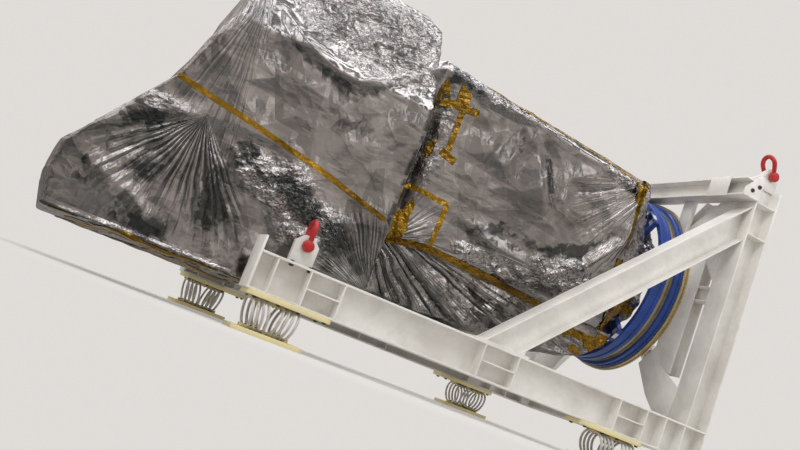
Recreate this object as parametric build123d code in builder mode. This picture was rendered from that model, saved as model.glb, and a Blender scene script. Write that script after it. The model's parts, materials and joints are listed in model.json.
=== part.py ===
from build123d import *
import os
from collections import namedtuple
from math import asin, atan2, cos, hypot, pi, radians, sin, tan

# A film-wrapped satellite, held level by its aft ring on an L-shaped steel handling frame.
# Millimetres. +X runs from the satellite's nose to the upright back frame, +Z is up,
# the floor is Z = 0, and the near side is -Y.

# Driving dimensions
FRONT = -1445.0             # X of the base beams' front ends
SKID = 320.0                # Z of the base beams' undersides
BEAM_LENGTH = 4510.0
BEAM_Y = 1388.0             # Y of each side's web plane
COLUMN_X = FRONT + 4380.0   # X of the columns' centre lines
COLUMN_TOP = SKID + 2700.0
AXIS_Z = SKID + 1560.0      # height of the satellite's axis and of the ring
SIDES = {"near": -1, "far": 1}

# Rolled sections
Section = namedtuple("Section", "depth width flange web")
MAIN = Section(305.0, 254.0, 16.0, 12.0)
POST = Section(260.0, 254.0, 16.0, 12.0)
CROSS = Section(305.0, 200.0, 14.0, 10.0)
BRACE = Section(180.0, 120.0, 12.0, 9.0)
TOP = Section(180.0, 190.0, 14.0, 10.0)
ARM = Section(150.0, 130.0, 12.0, 9.0)
POST_ARM = Section(130.0, 150.0, 12.0, 9.0)

BEAM_TOP = SKID + MAIN.depth
INNER_EDGE = BEAM_Y - MAIN.width / 2     # Y of the base beams' inner flange edges
STIFFENER = 12.0
os.makedirs("parts", exist_ok=True)


def save(part, node):
    """Label a finished piece and write its file."""
    part.label = node
    export_step(part, "parts/" + node + ".step")


def along_x(x, y, z):
    """Plane for a member that runs along +X, with its depth upright."""
    return Plane(origin=(x, y, z), x_dir=(0, 1, 0), z_dir=(1, 0, 0))


def along_y(x, y, z):
    """Plane for a member that runs along +Y, with its depth upright."""
    return Plane(origin=(x, y, z), x_dir=(1, 0, 0), z_dir=(0, 1, 0))


def along_z(x, y, z):
    """Plane for a member that runs along +Z, with its depth along X."""
    return Plane(origin=(x, y, z), x_dir=(0, 1, 0), z_dir=(0, 0, 1))


def i_beam(plane, length, section):
    """Wide-flange member: its width lies on the plane's X and its depth on the plane's Y."""
    pocket = (section.width - section.web) / 2
    with BuildSketch(plane) as outline:
        Rectangle(section.width, section.depth)
        with Locations(((section.web + pocket) / 2, 0), (-(section.web + pocket) / 2, 0)):
            Rectangle(pocket, section.depth - 2 * section.flange, mode=Mode.SUBTRACT)
    extrude(outline.sketch, amount=length)


def plate(x, y, z):
    """Flat plate that fills three (low, high) ranges."""
    with Locations(((x[0] + x[1]) / 2, (y[0] + y[1]) / 2, (z[0] + z[1]) / 2)):
        Box(x[1] - x[0], y[1] - y[0], z[1] - z[0])


# Base beams: I beams with an upstanding front plate and welded stiffeners
FRONT_PLATE = 20.0
FRONT_PLATE_TOP = SKID + 417.0
STIFFENER_X = (140.0, 420.0, 715.0, 2040.0, 2385.0, 3500.0, 3810.0, 4030.0, 4258.0, 4504.0)
SHELF_X = ((420.0, 715.0), (2040.0, 2385.0), (3500.0, 3810.0))
for side, sign in SIDES.items():
    y_web = sign * BEAM_Y
    with BuildPart() as base_beam:
        i_beam(along_x(FRONT, y_web, SKID + MAIN.depth / 2), BEAM_LENGTH, MAIN)
        plate(
            (FRONT - FRONT_PLATE, FRONT),
            (y_web - MAIN.width / 2, y_web + MAIN.width / 2),
            (SKID, FRONT_PLATE_TOP),
        )
        for x in STIFFENER_X:
            plate(
                (FRONT + x - STIFFENER / 2, FRONT + x + STIFFENER / 2),
                (y_web - MAIN.width / 2, y_web + MAIN.width / 2),
                (SKID + MAIN.flange, BEAM_TOP - MAIN.flange),
            )
        for low, high in SHELF_X:
            plate(
                (FRONT + low, FRONT + high),
                (y_web - MAIN.width / 2, y_web + MAIN.width / 2),
                (SKID + MAIN.depth / 2 - STIFFENER / 2, SKID + MAIN.depth / 2 + STIFFENER / 2),
            )
    save(base_beam.part, "base_beam_" + side)

# Cross members of the base, between the base beams' inner flange edges
FULL_CROSS = (("front_cross_beam", 530.0, CROSS), ("rear_cross_beam", 3550.0, BRACE),
              ("back_cross_beam", 4380.0, MAIN))      # node, X from the front, section
for node, x, section in FULL_CROSS:
    with BuildPart() as cross_beam:
        i_beam(along_y(FRONT + x, -INNER_EDGE, BEAM_TOP - section.depth / 2), 2 * INNER_EDGE, section)
    save(cross_beam.part, node)

# Shallow brace: a cross member with an octagonal hub, and four diagonal legs
BRACE_X = FRONT + 2080.0
BRACE_Z = BEAM_TOP - BRACE.depth / 2
HUB_RADIUS = 260.0                     # to the octagon's sides
LEG_ANGLE = 45.0
with BuildPart() as brace_cross:
    i_beam(along_y(BRACE_X, -INNER_EDGE, BRACE_Z), 2 * INNER_EDGE, BRACE)
    for z in (BRACE_Z - BRACE.depth / 2, BRACE_Z + BRACE.depth / 2 - BRACE.flange):
        with BuildSketch(Plane(origin=(BRACE_X, 0, z))):
            RegularPolygon(HUB_RADIUS, 8, major_radius=False, rotation=22.5)
        extrude(amount=BRACE.flange)
save(brace_cross.part, "brace_cross")

for side, sign in SIDES.items():
    for end, way in {"front": -1, "rear": 1}.items():
        leg = Vector(way * cos(radians(LEG_ANGLE)), sign * sin(radians(LEG_ANGLE)), 0)
        start = Vector(BRACE_X, 0, BRACE_Z) + leg * HUB_RADIUS
        with BuildPart() as brace_leg:
            i_beam(
                Plane(origin=start, x_dir=(-leg.Y, leg.X, 0), z_dir=leg),
                2 * INNER_EDGE,
                BRACE,
            )
            split(
                bisect_by=Plane(origin=(0, sign * INNER_EDGE, 0), z_dir=(0, sign, 0)),
                keep=Keep.BOTTOM,
            )
        save(brace_leg.part, "brace_leg_" + end + "_" + side)

# Columns of the back frame, with stiffeners at the strut and a doubler on the outer flange
COLUMN_STIFFENER_Z = (2200.0, 2520.0)
DOUBLER = (2120.0, 2700.0, 10.0)        # low, high, thickness
COLUMN_FACE = COLUMN_X - POST.depth / 2
for side, sign in SIDES.items():
    y_web = sign * BEAM_Y
    y_range = (y_web - POST.width / 2, y_web + POST.width / 2)
    with BuildPart() as column:
        i_beam(along_z(COLUMN_X, y_web, BEAM_TOP), COLUMN_TOP - BEAM_TOP, POST)
        for z in COLUMN_STIFFENER_Z:
            plate(
                (COLUMN_FACE, COLUMN_FACE + POST.depth),
                y_range,
                (SKID + z - STIFFENER / 2, SKID + z + STIFFENER / 2),
            )
        plate(
            (COLUMN_FACE + POST.depth, COLUMN_FACE + POST.depth + DOUBLER[2]),
            y_range,
            (SKID + DOUBLER[0], SKID + DOUBLER[1]),
        )
    save(column.part, "column_" + side)

# Top cross beam on the columns' nose-side faces, with end plates
TOP_X = COLUMN_FACE - TOP.width / 2
TOP_HALF = BEAM_Y + POST.width / 2
END_PLATE = 14.0
GUSSET = (                              # outline of an end plate, X and Z
    (TOP_X - 95.0, COLUMN_TOP - TOP.depth), (COLUMN_FACE + 12.0, COLUMN_TOP - TOP.depth),
    (COLUMN_FACE + 12.0, COLUMN_TOP + 60.0), (COLUMN_FACE - 40.0, COLUMN_TOP + 60.0),
    (TOP_X - 95.0, COLUMN_TOP - 110.0),
)
COVER_Y = (1040.0, 1310.0)              # cover plates on the nose-side edges, by the columns
COVER = (12.0, 12.0)                    # thickness, and how far they stand past the flanges
with BuildPart() as top_cross_beam:
    i_beam(along_y(TOP_X, -TOP_HALF, COLUMN_TOP - TOP.depth / 2), 2 * TOP_HALF, TOP)
    for sign in SIDES.values():
        plate(
            (TOP_X - TOP.width / 2 - COVER[0], TOP_X - TOP.width / 2),
            tuple(sorted(sign * y for y in COVER_Y)),
            (COLUMN_TOP - TOP.depth - COVER[1], COLUMN_TOP + COVER[1]),
        )
        end_face = Plane(origin=(0, sign * TOP_HALF, 0), x_dir=(-sign, 0, 0), z_dir=(0, sign, 0))
        with BuildSketch(end_face) as gusset:
            with BuildLine():
                Polyline(
                    *[(-sign * x, z) for x, z in GUSSET],
                    close=True,
                )
            make_face()
        extrude(gusset.sketch, amount=END_PLATE)
save(top_cross_beam.part, "top_cross_beam")

# Diagonal struts from the base beams up to the columns, on a small base plate
STRUT_ANGLE = 44.0
STRUT_FOOT_X = FRONT + 2190.0           # where the strut's centre line meets the base beam
STRUT_PLATE_X = (1940.0, 2480.0)
STRUT_PLATE = 20.0
STRUT = Section(254.0, 203.0, 14.0, 10.0)
for side, sign in SIDES.items():
    y_web = sign * BEAM_Y
    run = Vector(cos(radians(STRUT_ANGLE)), 0, sin(radians(STRUT_ANGLE)))
    foot = Vector(STRUT_FOOT_X, y_web, BEAM_TOP) - run * STRUT.depth
    with BuildPart() as strut:
        i_beam(Plane(origin=foot, x_dir=(0, 1, 0), z_dir=run), 2 * BEAM_LENGTH, STRUT)
        split(bisect_by=Plane.XY.offset(BEAM_TOP + STRUT_PLATE), keep=Keep.TOP)
        split(bisect_by=Plane.YZ.offset(COLUMN_FACE), keep=Keep.BOTTOM)
        plate(
            (FRONT + STRUT_PLATE_X[0], FRONT + STRUT_PLATE_X[1]),
            (y_web - STRUT.width / 2, y_web + STRUT.width / 2),
            (BEAM_TOP, BEAM_TOP + STRUT_PLATE),
        )
    save(strut.part, "strut_" + side)

# Ring stack on the satellite's axis, from the back frame forward
RING_BACK = FRONT + 4240.0
RING_BORE = 860.0
RING_SIDES = 60
BRACKET = (60.0, 170.0, 905.0)          # along X, across, and its outer radius
NECK_RADIUS = 700.0                     # to the flat sides of the satellite's wrapped neck
RING_STACK = (                          # node, outer radius, thickness
    ("carrier_ring", 950.0, 60.0),
    ("blue_ring_rear", 930.0, 80.0),
    ("clamp_band", 900.0, 80.0),
    ("blue_ring_front", 915.0, 80.0),
)
ring_x = RING_BACK
for node, radius, thickness in RING_STACK:
    ring_x -= thickness
    with BuildPart() as ring:
        with BuildSketch(Plane(origin=(ring_x, 0, AXIS_Z), z_dir=(1, 0, 0))):
            RegularPolygon(radius, RING_SIDES)
            RegularPolygon(RING_BORE, RING_SIDES, major_radius=False, mode=Mode.SUBTRACT)
        extrude(amount=thickness)
        if node == "blue_ring_front":
            for turn in (45, 135, 225, 315):
                with Locations(Location((0, 0, AXIS_Z), (turn, 0, 0))):
                    with Locations((
                        ring_x - BRACKET[0] / 2, 0, (NECK_RADIUS + BRACKET[2]) / 2
                    )):
                        Box(BRACKET[0], BRACKET[1], BRACKET[2] - NECK_RADIUS)
    save(ring.part, node)
RING_FACE = ring_x

# Arms that hold the ring: one level arm a side with an inner post and a web plate across it, and one
# diagonal arm with a gusset in each corner
ARM_X = RING_BACK + ARM.width / 2
ARM_REACH = 885.0                       # radius at which an arm's inner end starts
COLUMN_EDGE = BEAM_Y - POST.width / 2
POST_Y = 1030.0
POST_HALF = 830.0
WEB_Y = (790.0, 1040.0)                 # web plate between the ring and the post
WEB_Z = (SKID + 730.0, SKID + 2300.0)
GUSSET_PLATE = 12.0
GUSSETS = {                             # outlines, Y from the middle and Z from the beams' undersides
    "low": ((610.0, 770.0), (820.0, 1000.0), (930.0, 800.0), (1261.0, 620.0), (1261.0, 305.0),
            (1060.0, 305.0), (850.0, 480.0)),
    "high": ((700.0, 2250.0), (860.0, 1990.0), (1090.0, 1900.0), (1261.0, 1700.0), (1261.0, 2520.0),
             (1080.0, 2520.0)),
}


def corner_gusset(level, sign, mode=Mode.ADD):
    """Gusset plate of one corner, against the carrier ring's back face."""
    with BuildSketch(Plane(origin=(RING_BACK, 0, SKID), x_dir=(0, 1, 0), z_dir=(1, 0, 0))) as web:
        with BuildLine():
            Polyline(*[(sign * y, z) for y, z in GUSSETS[level]], close=True)
        make_face()
    extrude(web.sketch, amount=GUSSET_PLATE, mode=mode)


for side, sign in SIDES.items():
    with BuildPart() as side_arm:
        i_beam(along_z(ARM_X, sign * POST_Y, AXIS_Z - POST_HALF), 2 * POST_HALF, POST_ARM)
        plate((RING_BACK, RING_BACK + GUSSET_PLATE), tuple(sorted(sign * y for y in WEB_Y)), WEB_Z)
        with BuildSketch(Plane(origin=(RING_BACK, 0, AXIS_Z), z_dir=(1, 0, 0))) as inner_edge:
            RegularPolygon(ARM_REACH, RING_SIDES)
        extrude(inner_edge.sketch, amount=GUSSET_PLATE, mode=Mode.SUBTRACT)
        for level in GUSSETS:
            corner_gusset(level, sign, Mode.SUBTRACT)
        i_beam(
            Plane(origin=(ARM_X, sign * ARM_REACH, AXIS_Z), x_dir=(1, 0, 0), z_dir=(0, sign, 0)),
            COLUMN_EDGE - ARM_REACH,
            ARM,
        )
    save(side_arm.part, "ring_arm_" + side)
    for level, up in {"low": -1, "high": 1}.items():
        out = Vector(0, sign * cos(radians(45)), up * sin(radians(45)))
        with BuildPart() as corner_arm:
            i_beam(
                Plane(origin=Vector(ARM_X, 0, AXIS_Z) + out * ARM_REACH, x_dir=(1, 0, 0), z_dir=out),
                2 * ARM_REACH,
                ARM,
            )
            corner_gusset(level, sign)
            split(
                bisect_by=Plane(origin=(0, sign * COLUMN_EDGE, 0), z_dir=(0, sign, 0)),
                keep=Keep.BOTTOM,
            )
            if up < 0:
                split(bisect_by=Plane.XY.offset(BEAM_TOP), keep=Keep.TOP)
            else:
                split(bisect_by=Plane.XY.offset(COLUMN_TOP - TOP.depth), keep=Keep.BOTTOM)
        save(corner_arm.part, "ring_arm_" + level + "_" + side)

# Hangers between the top cross beam and the carrier ring's rim
HANGER_X = (RING_BACK - 55.0, RING_BACK - 5.0)
HANGER_Y = (580.0, 730.0)
for side, sign in SIDES.items():
    with BuildPart() as hanger:
        plate(HANGER_X, tuple(sorted(sign * y for y in HANGER_Y)), (AXIS_Z, COLUMN_TOP - TOP.depth))
        with BuildSketch(Plane(origin=(RING_FACE, 0, AXIS_Z), z_dir=(1, 0, 0))) as rim:
            Circle(RING_STACK[0][1])
        extrude(rim.sketch, amount=2 * (RING_BACK - RING_FACE), mode=Mode.SUBTRACT)
    save(hanger.part, "ring_hanger_" + side)

# Lifting lugs: an upright plate with clipped corners over each beam end and each column
LUG_THICKNESS = 55.0
LUG_HOLE = 26.5
HOLE_SIDES = 16
LUG_HEAD = 80.0                         # plate above the pin's centre
LUG_CLIP = 62.0                         # clipped corners of its top
LUGS = (                                # name, pin's X, pin's Z, foot's Z, half width, shackle's lean
    ("front", FRONT + 330.0, SKID + 460.0, BEAM_TOP, 100.0, 0.0),
    ("column", FRONT + 4420.0, SKID + 2850.0, COLUMN_TOP, 90.0, 25.0),
)
LUG_WING = ((-230.0, 0.0), (-230.0, 40.0), (-90.0, 150.0))   # a column's lug, towards the nose

# Shackles: a bow of round bar with two eyes, and a pin with a round head and a hex nut
PIN_RADIUS = 23.0
JAW = 66.0
EAR = 40.0
EAR_RADIUS = 48.0
EAR_SIDES = 16
BAR_RADIUS = 20.5
BAR_SIDES = 8
BOW_RADIUS = 76.0
BOW_CENTRE = 127.0
BOW_STEPS = 7                           # straight steps round the bow's crown
PIN_HEAD = (45.0, 16.0)                 # radius, thickness
PIN_NUT = (38.0, 30.0)


def shackle_plane(x, y, z, lean):
    """Plane at a pin's centre: its X lies along the pin, its Y points up the bow."""
    return Plane(origin=(x, y, z), x_dir=(0, 1, 0),
                 z_dir=(cos(radians(lean)), 0, sin(radians(lean))))


def build_bow(plane):
    """Bow and its two eyes, bored for the pin."""
    leg_x = (JAW + EAR) / 2
    reach = hypot(leg_x, BOW_CENTRE)
    start = atan2(BOW_CENTRE, -leg_x) - asin(BOW_RADIUS / reach) - pi / 2
    bend = [start + (pi - 2 * start) * step / BOW_STEPS for step in range(BOW_STEPS + 1)]
    route = [(BOW_RADIUS * cos(turn), BOW_CENTRE + BOW_RADIUS * sin(turn)) for turn in bend]
    with BuildLine(plane) as spine:
        Polyline((leg_x, 0), *route, (-leg_x, 0))
    with BuildSketch(Plane(origin=spine.line @ 0, z_dir=spine.line % 0)) as bar:
        RegularPolygon(BAR_RADIUS, BAR_SIDES)
    sweep(bar.sketch, path=spine.line, transition=Transition.RIGHT)
    for way in (-1, 1):
        eye = Plane(origin=plane.origin + Vector(0, way * JAW / 2, 0), z_dir=(0, way, 0))
        with BuildSketch(eye) as eye_disc:
            RegularPolygon(EAR_RADIUS, EAR_SIDES)
        extrude(eye_disc.sketch, amount=EAR)
    with BuildSketch(Plane(origin=plane.origin, z_dir=(0, 1, 0))) as bore:
        RegularPolygon(PIN_RADIUS + 0.3, HOLE_SIDES, major_radius=False)
    extrude(bore.sketch, amount=JAW / 2 + EAR, both=True, mode=Mode.SUBTRACT)
    for way in (-1, 1):
        seat = Plane(origin=plane.origin + Vector(0, way * (JAW / 2 + EAR), 0), z_dir=(0, way, 0))
        with BuildSketch(seat) as spot_face:
            RegularPolygon(PIN_HEAD[0] + 1.0, EAR_SIDES)
        extrude(spot_face.sketch, amount=EAR, mode=Mode.SUBTRACT)


for place, pin_x, pin_z, foot_z, half_width, lean in LUGS:
    wing = LUG_WING if place == "column" else ((-half_width, 0.0),)
    top = pin_z + LUG_HEAD - foot_z
    for side, sign in SIDES.items():
        y_web = sign * BEAM_Y
        name = place + "_" + side
        with BuildPart() as lug:
            with BuildSketch(Plane(origin=(pin_x, y_web, foot_z), x_dir=(1, 0, 0), z_dir=(0, -1, 0))):
                with BuildLine():
                    Polyline(
                        (half_width, 0), (half_width, top - LUG_CLIP), (half_width - LUG_CLIP, top),
                        (LUG_CLIP - half_width, top), (-half_width, top - LUG_CLIP),
                        *reversed(wing),
                        close=True,
                    )
                make_face()
                with Locations((0, pin_z - foot_z)):
                    RegularPolygon(LUG_HOLE, HOLE_SIDES, major_radius=False, mode=Mode.SUBTRACT)
            extrude(amount=LUG_THICKNESS / 2, both=True)
        save(lug.part, "lug_" + name)

        plane = shackle_plane(pin_x, y_web, pin_z, lean)
        with BuildPart() as bow:
            build_bow(plane)
        save(bow.part, "shackle_bow_" + name)
        with BuildPart() as pin:
            with BuildSketch(Plane(origin=plane.origin, z_dir=(0, 1, 0))) as shank:
                RegularPolygon(PIN_RADIUS, HOLE_SIDES)
            extrude(shank.sketch, amount=JAW / 2 + EAR, both=True)
            for way, size, corners in ((-1, PIN_HEAD, 24), (1, PIN_NUT, 6)):
                seat = plane.origin + Vector(0, way * (JAW / 2 + EAR), 0)
                with BuildSketch(Plane(origin=seat, z_dir=(0, way, 0))) as end:
                    RegularPolygon(size[0], corners)
                extrude(end.sketch, amount=size[1])
        save(pin.part, "shackle_pin_" + name)

# Wire-rope isolators under both ends of each base beam
FOOT_PLATE = 36.0
DECK_PLATE = 38.0
BAR = (26.0, 40.0)                      # clamp bar: height, width
DECK_X = (0.0, 705.0)                   # of the front deck plate, from the beam's end
SOLE_X = (-20.0, 565.0)
DECK_HALF_Y = 150.0
SOLE_HALF_Y = 170.0
ROPE_RADIUS = 12.0
ROPE_SIDES = 5
LOOP_STEPS = 3                          # straight steps in a coil's half turn
LOOP_X = (90.0, 133.0, 176.0, 219.0, 311.0, 354.0, 397.0, 440.0)
LOOP_LEAN = 10.0
LOOP_HALF = 45.0                        # straight half length of a loop
CLIP = 40.0                             # clipped corners of the plates
SOLE_BOLT = (500.0, 270.0, 13.0)        # hole pattern: along X, along Y, hole radius
REAR_SHIFT = 3860.0                     # the rear set is the front one, mirrored about this X


def clipped_plate(x, y, half_y, z, thickness):
    """Plate with clipped corners, its underside at z."""
    with BuildSketch(Plane(origin=((x[0] + x[1]) / 2, y, z))) as outline:
        Rectangle(x[1] - x[0], 2 * half_y)
        chamfer(outline.vertices(), CLIP)
    extrude(outline.sketch, amount=thickness)


def rope_loop(x, y, lean):
    """One turn of rope between the clamp bars: two stepped half circles and two straight runs."""
    low, high = FOOT_PLATE + BAR[0] / 2, SKID - DECK_PLATE - BAR[0] / 2
    radius = (high - low) / 2 / cos(radians(lean))
    plane = Plane(origin=(x, y, (low + high) / 2), x_dir=(0, 1, 0),
                  z_dir=(cos(radians(lean)), 0, sin(radians(lean))))
    turns = [pi * step / LOOP_STEPS - pi / 2 for step in range(LOOP_STEPS + 1)]
    outer = [(LOOP_HALF + radius * cos(turn), radius * sin(turn)) for turn in turns]
    with BuildLine(plane) as route:
        Polyline(*outer, *[(-across, -up) for across, up in outer], close=True)
    with BuildSketch(Plane(origin=route.line @ 0.02, z_dir=route.line % 0.02)) as rope:
        RegularPolygon(ROPE_RADIUS, ROPE_SIDES)
    sweep(rope.sketch, path=route.line, transition=Transition.RIGHT)


def end_range(x, way):
    """A range measured from the front end, or mirrored for the rear set."""
    low, high = (x[0], x[1]) if way < 0 else (REAR_SHIFT - x[1], REAR_SHIFT - x[0])
    return FRONT + low, FRONT + high


for end, way in {"front": -1, "rear": 1}.items():
    for side, sign in SIDES.items():
        y_web = sign * BEAM_Y
        name = end + "_" + side
        with BuildPart() as deck_plate:
            clipped_plate(end_range(DECK_X, way), y_web, DECK_HALF_Y, SKID - DECK_PLATE, DECK_PLATE)
        save(deck_plate.part, "isolator_deck_" + name)
        with BuildPart() as sole_plate:
            sole_range = end_range(SOLE_X, way)
            clipped_plate(sole_range, y_web, SOLE_HALF_Y, 0, FOOT_PLATE)
            with Locations(((sole_range[0] + sole_range[1]) / 2, y_web, FOOT_PLATE)):
                with GridLocations(SOLE_BOLT[0], SOLE_BOLT[1], 2, 2):
                    Hole(SOLE_BOLT[2])
        save(sole_plate.part, "isolator_sole_" + name)
        with BuildPart() as isolator:
            bar_range = end_range((60.0, 470.0), way)
            for z in (FOOT_PLATE, SKID - DECK_PLATE - BAR[0]):
                plate(bar_range, (y_web - BAR[1] / 2, y_web + BAR[1] / 2), (z, z + BAR[0]))
            for index, x in enumerate(LOOP_X):
                lean = LOOP_LEAN if index < len(LOOP_X) / 2 else -LOOP_LEAN
                loop_x = FRONT + (x if way < 0 else REAR_SHIFT - x)
                rope_loop(loop_x, y_web, lean if way < 0 else -lean)
        save(isolator.part, "isolator_coils_" + name)

# Satellite: a wide forward section, a square bus and a tapered aft end, all under film
BODY_HALF_Y = 1065.0
RIDGE_Z = SKID + 3000.0
RIDGE_HALF_Y = 465.0
EAVE_Z = SKID + 2000.0
BUS_HALF = 900.0
BUS_LOW = SKID + 860.0
BUS_HIGH = (SKID + 2560.0, SKID + 2420.0)   # its top at the front and at the back
BUS_FRONT = FRONT + 1050.0
BUS_BACK = FRONT + 3500.0
BUS_CORNER = 90.0
NOSE_PROFILE = (                        # X from the beams' front, Z above their undersides
    (-1560.0, 30.0), (300.0, 50.0), (360.0, 345.0), (1050.0, 345.0), (1050.0, 2900.0),
    (900.0, 3000.0), (-560.0, 3000.0), (-770.0, 2050.0), (-1045.0, 1330.0), (-1600.0, 520.0),
    (-1630.0, 300.0),
)
with BuildPart() as satellite_forward:
    with BuildSketch(Plane.XZ):
        with BuildLine():
            Polyline(*[(FRONT + x, SKID + z) for x, z in NOSE_PROFILE], close=True)
        make_face()
    extrude(amount=BODY_HALF_Y, both=True)
    with BuildSketch(Plane.YZ.offset(2 * FRONT - 500)):
        for sign in SIDES.values():
            with BuildLine():
                Polyline(
                    (sign * BODY_HALF_Y, EAVE_Z), (sign * RIDGE_HALF_Y, RIDGE_Z),
                    (sign * RIDGE_HALF_Y, RIDGE_Z + 200), (sign * (BODY_HALF_Y + 200), RIDGE_Z + 200),
                    (sign * (BODY_HALF_Y + 200), EAVE_Z),
                    close=True,
                )
            make_face()
    extrude(amount=2 * BEAM_LENGTH, mode=Mode.SUBTRACT)
save(satellite_forward.part, "satellite_forward")



def clipped_rectangle(x, half_y, low, high, corner):
    """Corners of an upright rectangle across the satellite, with its own corners clipped."""
    loop = ((half_y, high - corner), (half_y - corner, high), (corner - half_y, high),
            (-half_y, high - corner), (-half_y, low + corner), (corner - half_y, low),
            (half_y - corner, low), (half_y, low + corner))
    return [Vector(x, y, z) for y, z in loop]


def skin_loops(loops):
    """Closed solid over a row of clipped rectangles."""
    faces = [Face(Wire.make_polygon(loop)) for loop in (loops[0], loops[-1])]
    for first, second in zip(loops, loops[1:]):
        for corner in range(8):
            after = (corner + 1) % 8
            faces.append(Face(Wire.make_polygon(
                [first[corner], first[after], second[after], second[corner]]
            )))
    add(Solid(Shell(faces)))


BUS_ENDS = [
    clipped_rectangle(x, BUS_HALF, BUS_LOW, high, BUS_CORNER)
    for x, high in zip((BUS_FRONT, BUS_BACK), BUS_HIGH)
]
with BuildPart() as satellite_bus:
    skin_loops(BUS_ENDS)
save(satellite_bus.part, "satellite_bus")

# The film narrows from the bus to a neck inside the ring
NECK_X = (FRONT + 3790.0, RING_FACE + 40.0)
NECK_CORNER = NECK_RADIUS * (1 - tan(radians(22.5)))
with BuildPart() as satellite_aft:
    skin_loops([BUS_ENDS[1]] + [
        clipped_rectangle(x, NECK_RADIUS, AXIS_Z - NECK_RADIUS, AXIS_Z + NECK_RADIUS, NECK_CORNER)
        for x in NECK_X
    ])
save(satellite_aft.part, "satellite_aft")

# Loose film that sags below the bus and the neck
SKIRT_HALF_Y = 800.0
SKIRT_PROFILE = (                       # X from the beams' front, Z above their undersides
    (1050.0, 860.0), (1050.0, 360.0), (1900.0, 400.0), (2600.0, 450.0), (3250.0, 520.0),
    (3500.0, 620.0), (3740.0, 860.0),
)
with BuildPart() as film_skirt:
    with BuildSketch(Plane.XZ):
        with BuildLine():
            Polyline(*[(FRONT + x, SKID + z) for x, z in SKIRT_PROFILE], close=True)
        make_face()
    extrude(amount=SKIRT_HALF_Y, both=True)
save(film_skirt.part, "film_skirt")
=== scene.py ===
"""Dresses a film-wrapped satellite and the steel handling frame that holds it.

Metres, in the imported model's own frame: +X runs from the satellite's nose to the upright back
frame, +Y to the far side, +Z up, and the floor is Z = 0. A chart point is measured as the frame's
builder would: along X from the base beams' front ends, and up from their undersides.
"""
import json
import logging
from dataclasses import dataclass
from enum import Enum
from functools import cache
from itertools import product
from math import asin, atan2, cos, hypot, pi, radians, sin

import bmesh
import bpy
import numpy as np
from bmesh.types import BMesh, BMVert
from bpy.types import ID, Curve, Material, Mesh, Node, NodeSocket, NodeTree, Object
from mathutils import Matrix, Vector
from mathutils.bvhtree import BVHTree

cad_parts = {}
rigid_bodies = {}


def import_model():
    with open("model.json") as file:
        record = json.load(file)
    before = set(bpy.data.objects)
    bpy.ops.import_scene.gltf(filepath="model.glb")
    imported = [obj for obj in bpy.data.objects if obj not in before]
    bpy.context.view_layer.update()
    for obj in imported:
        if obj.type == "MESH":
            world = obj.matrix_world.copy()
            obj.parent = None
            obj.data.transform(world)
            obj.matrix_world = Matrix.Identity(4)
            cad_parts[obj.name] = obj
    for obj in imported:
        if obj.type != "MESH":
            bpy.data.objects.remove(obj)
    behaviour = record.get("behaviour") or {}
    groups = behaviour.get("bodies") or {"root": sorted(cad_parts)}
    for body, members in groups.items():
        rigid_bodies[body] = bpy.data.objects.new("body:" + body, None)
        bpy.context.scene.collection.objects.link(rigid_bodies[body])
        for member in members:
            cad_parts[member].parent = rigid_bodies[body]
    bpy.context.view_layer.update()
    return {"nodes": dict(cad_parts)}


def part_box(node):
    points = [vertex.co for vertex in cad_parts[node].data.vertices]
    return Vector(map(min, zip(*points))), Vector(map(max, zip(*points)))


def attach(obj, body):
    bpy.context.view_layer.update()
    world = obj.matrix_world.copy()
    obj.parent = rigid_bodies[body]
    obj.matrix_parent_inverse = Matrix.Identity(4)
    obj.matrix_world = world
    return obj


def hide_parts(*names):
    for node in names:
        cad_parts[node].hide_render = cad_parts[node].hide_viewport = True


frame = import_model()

LOG = logging.getLogger("satellite")
BODY = "frame"
SIDES = {"near": -1, "far": 1}
ENDS = ("front", "rear")
Colour = tuple[float, float, float]
Point = tuple[float, float, float]
ChartPoint = tuple[float, float]
Number = NodeSocket | float
Tint = NodeSocket | Colour


@dataclass(frozen=True)
class Datum:
    """Main lines of the frame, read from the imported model."""

    front: float
    skid: float
    side: float
    axis: float
    ring_face: float
    ring_back: float

    @classmethod
    def read(cls) -> "Datum":
        """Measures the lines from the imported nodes' boxes.

        Returns:
            The lines, in metres.
        """
        beam_low, beam_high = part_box("base_beam_near")
        ring_low, ring_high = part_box("carrier_ring")
        return cls(
            front=beam_low.x + 0.020,
            skid=beam_low.z,
            side=-(beam_low.y + beam_high.y) / 2,
            axis=(ring_low.z + ring_high.z) / 2,
            ring_face=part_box("blue_ring_front")[0].x,
            ring_back=ring_high.x,
        )

    def place(self, along: float, y: float, up: float) -> Vector:
        """Turns a chart point into a point of the model."""
        return Vector((self.front + along, y, self.skid + up))

    def chart(self, points: np.ndarray) -> np.ndarray:
        """Turns points of the model into chart points."""
        return np.stack((points[:, 0] - self.front, points[:, 2] - self.skid), axis=1)


DATUM = Datum.read()


class Slot(Enum):
    """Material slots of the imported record."""

    GREY = "grey_paint"
    CHROMATE = "chromate_plate"
    ROPE = "rope_steel"
    RED = "red_paint"
    BLUE = "blue_paint"
    GOLD = "gold_plate"
    BAND = "band_metal"
    FILM = "film"


# Node groups that several finishes share


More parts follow.
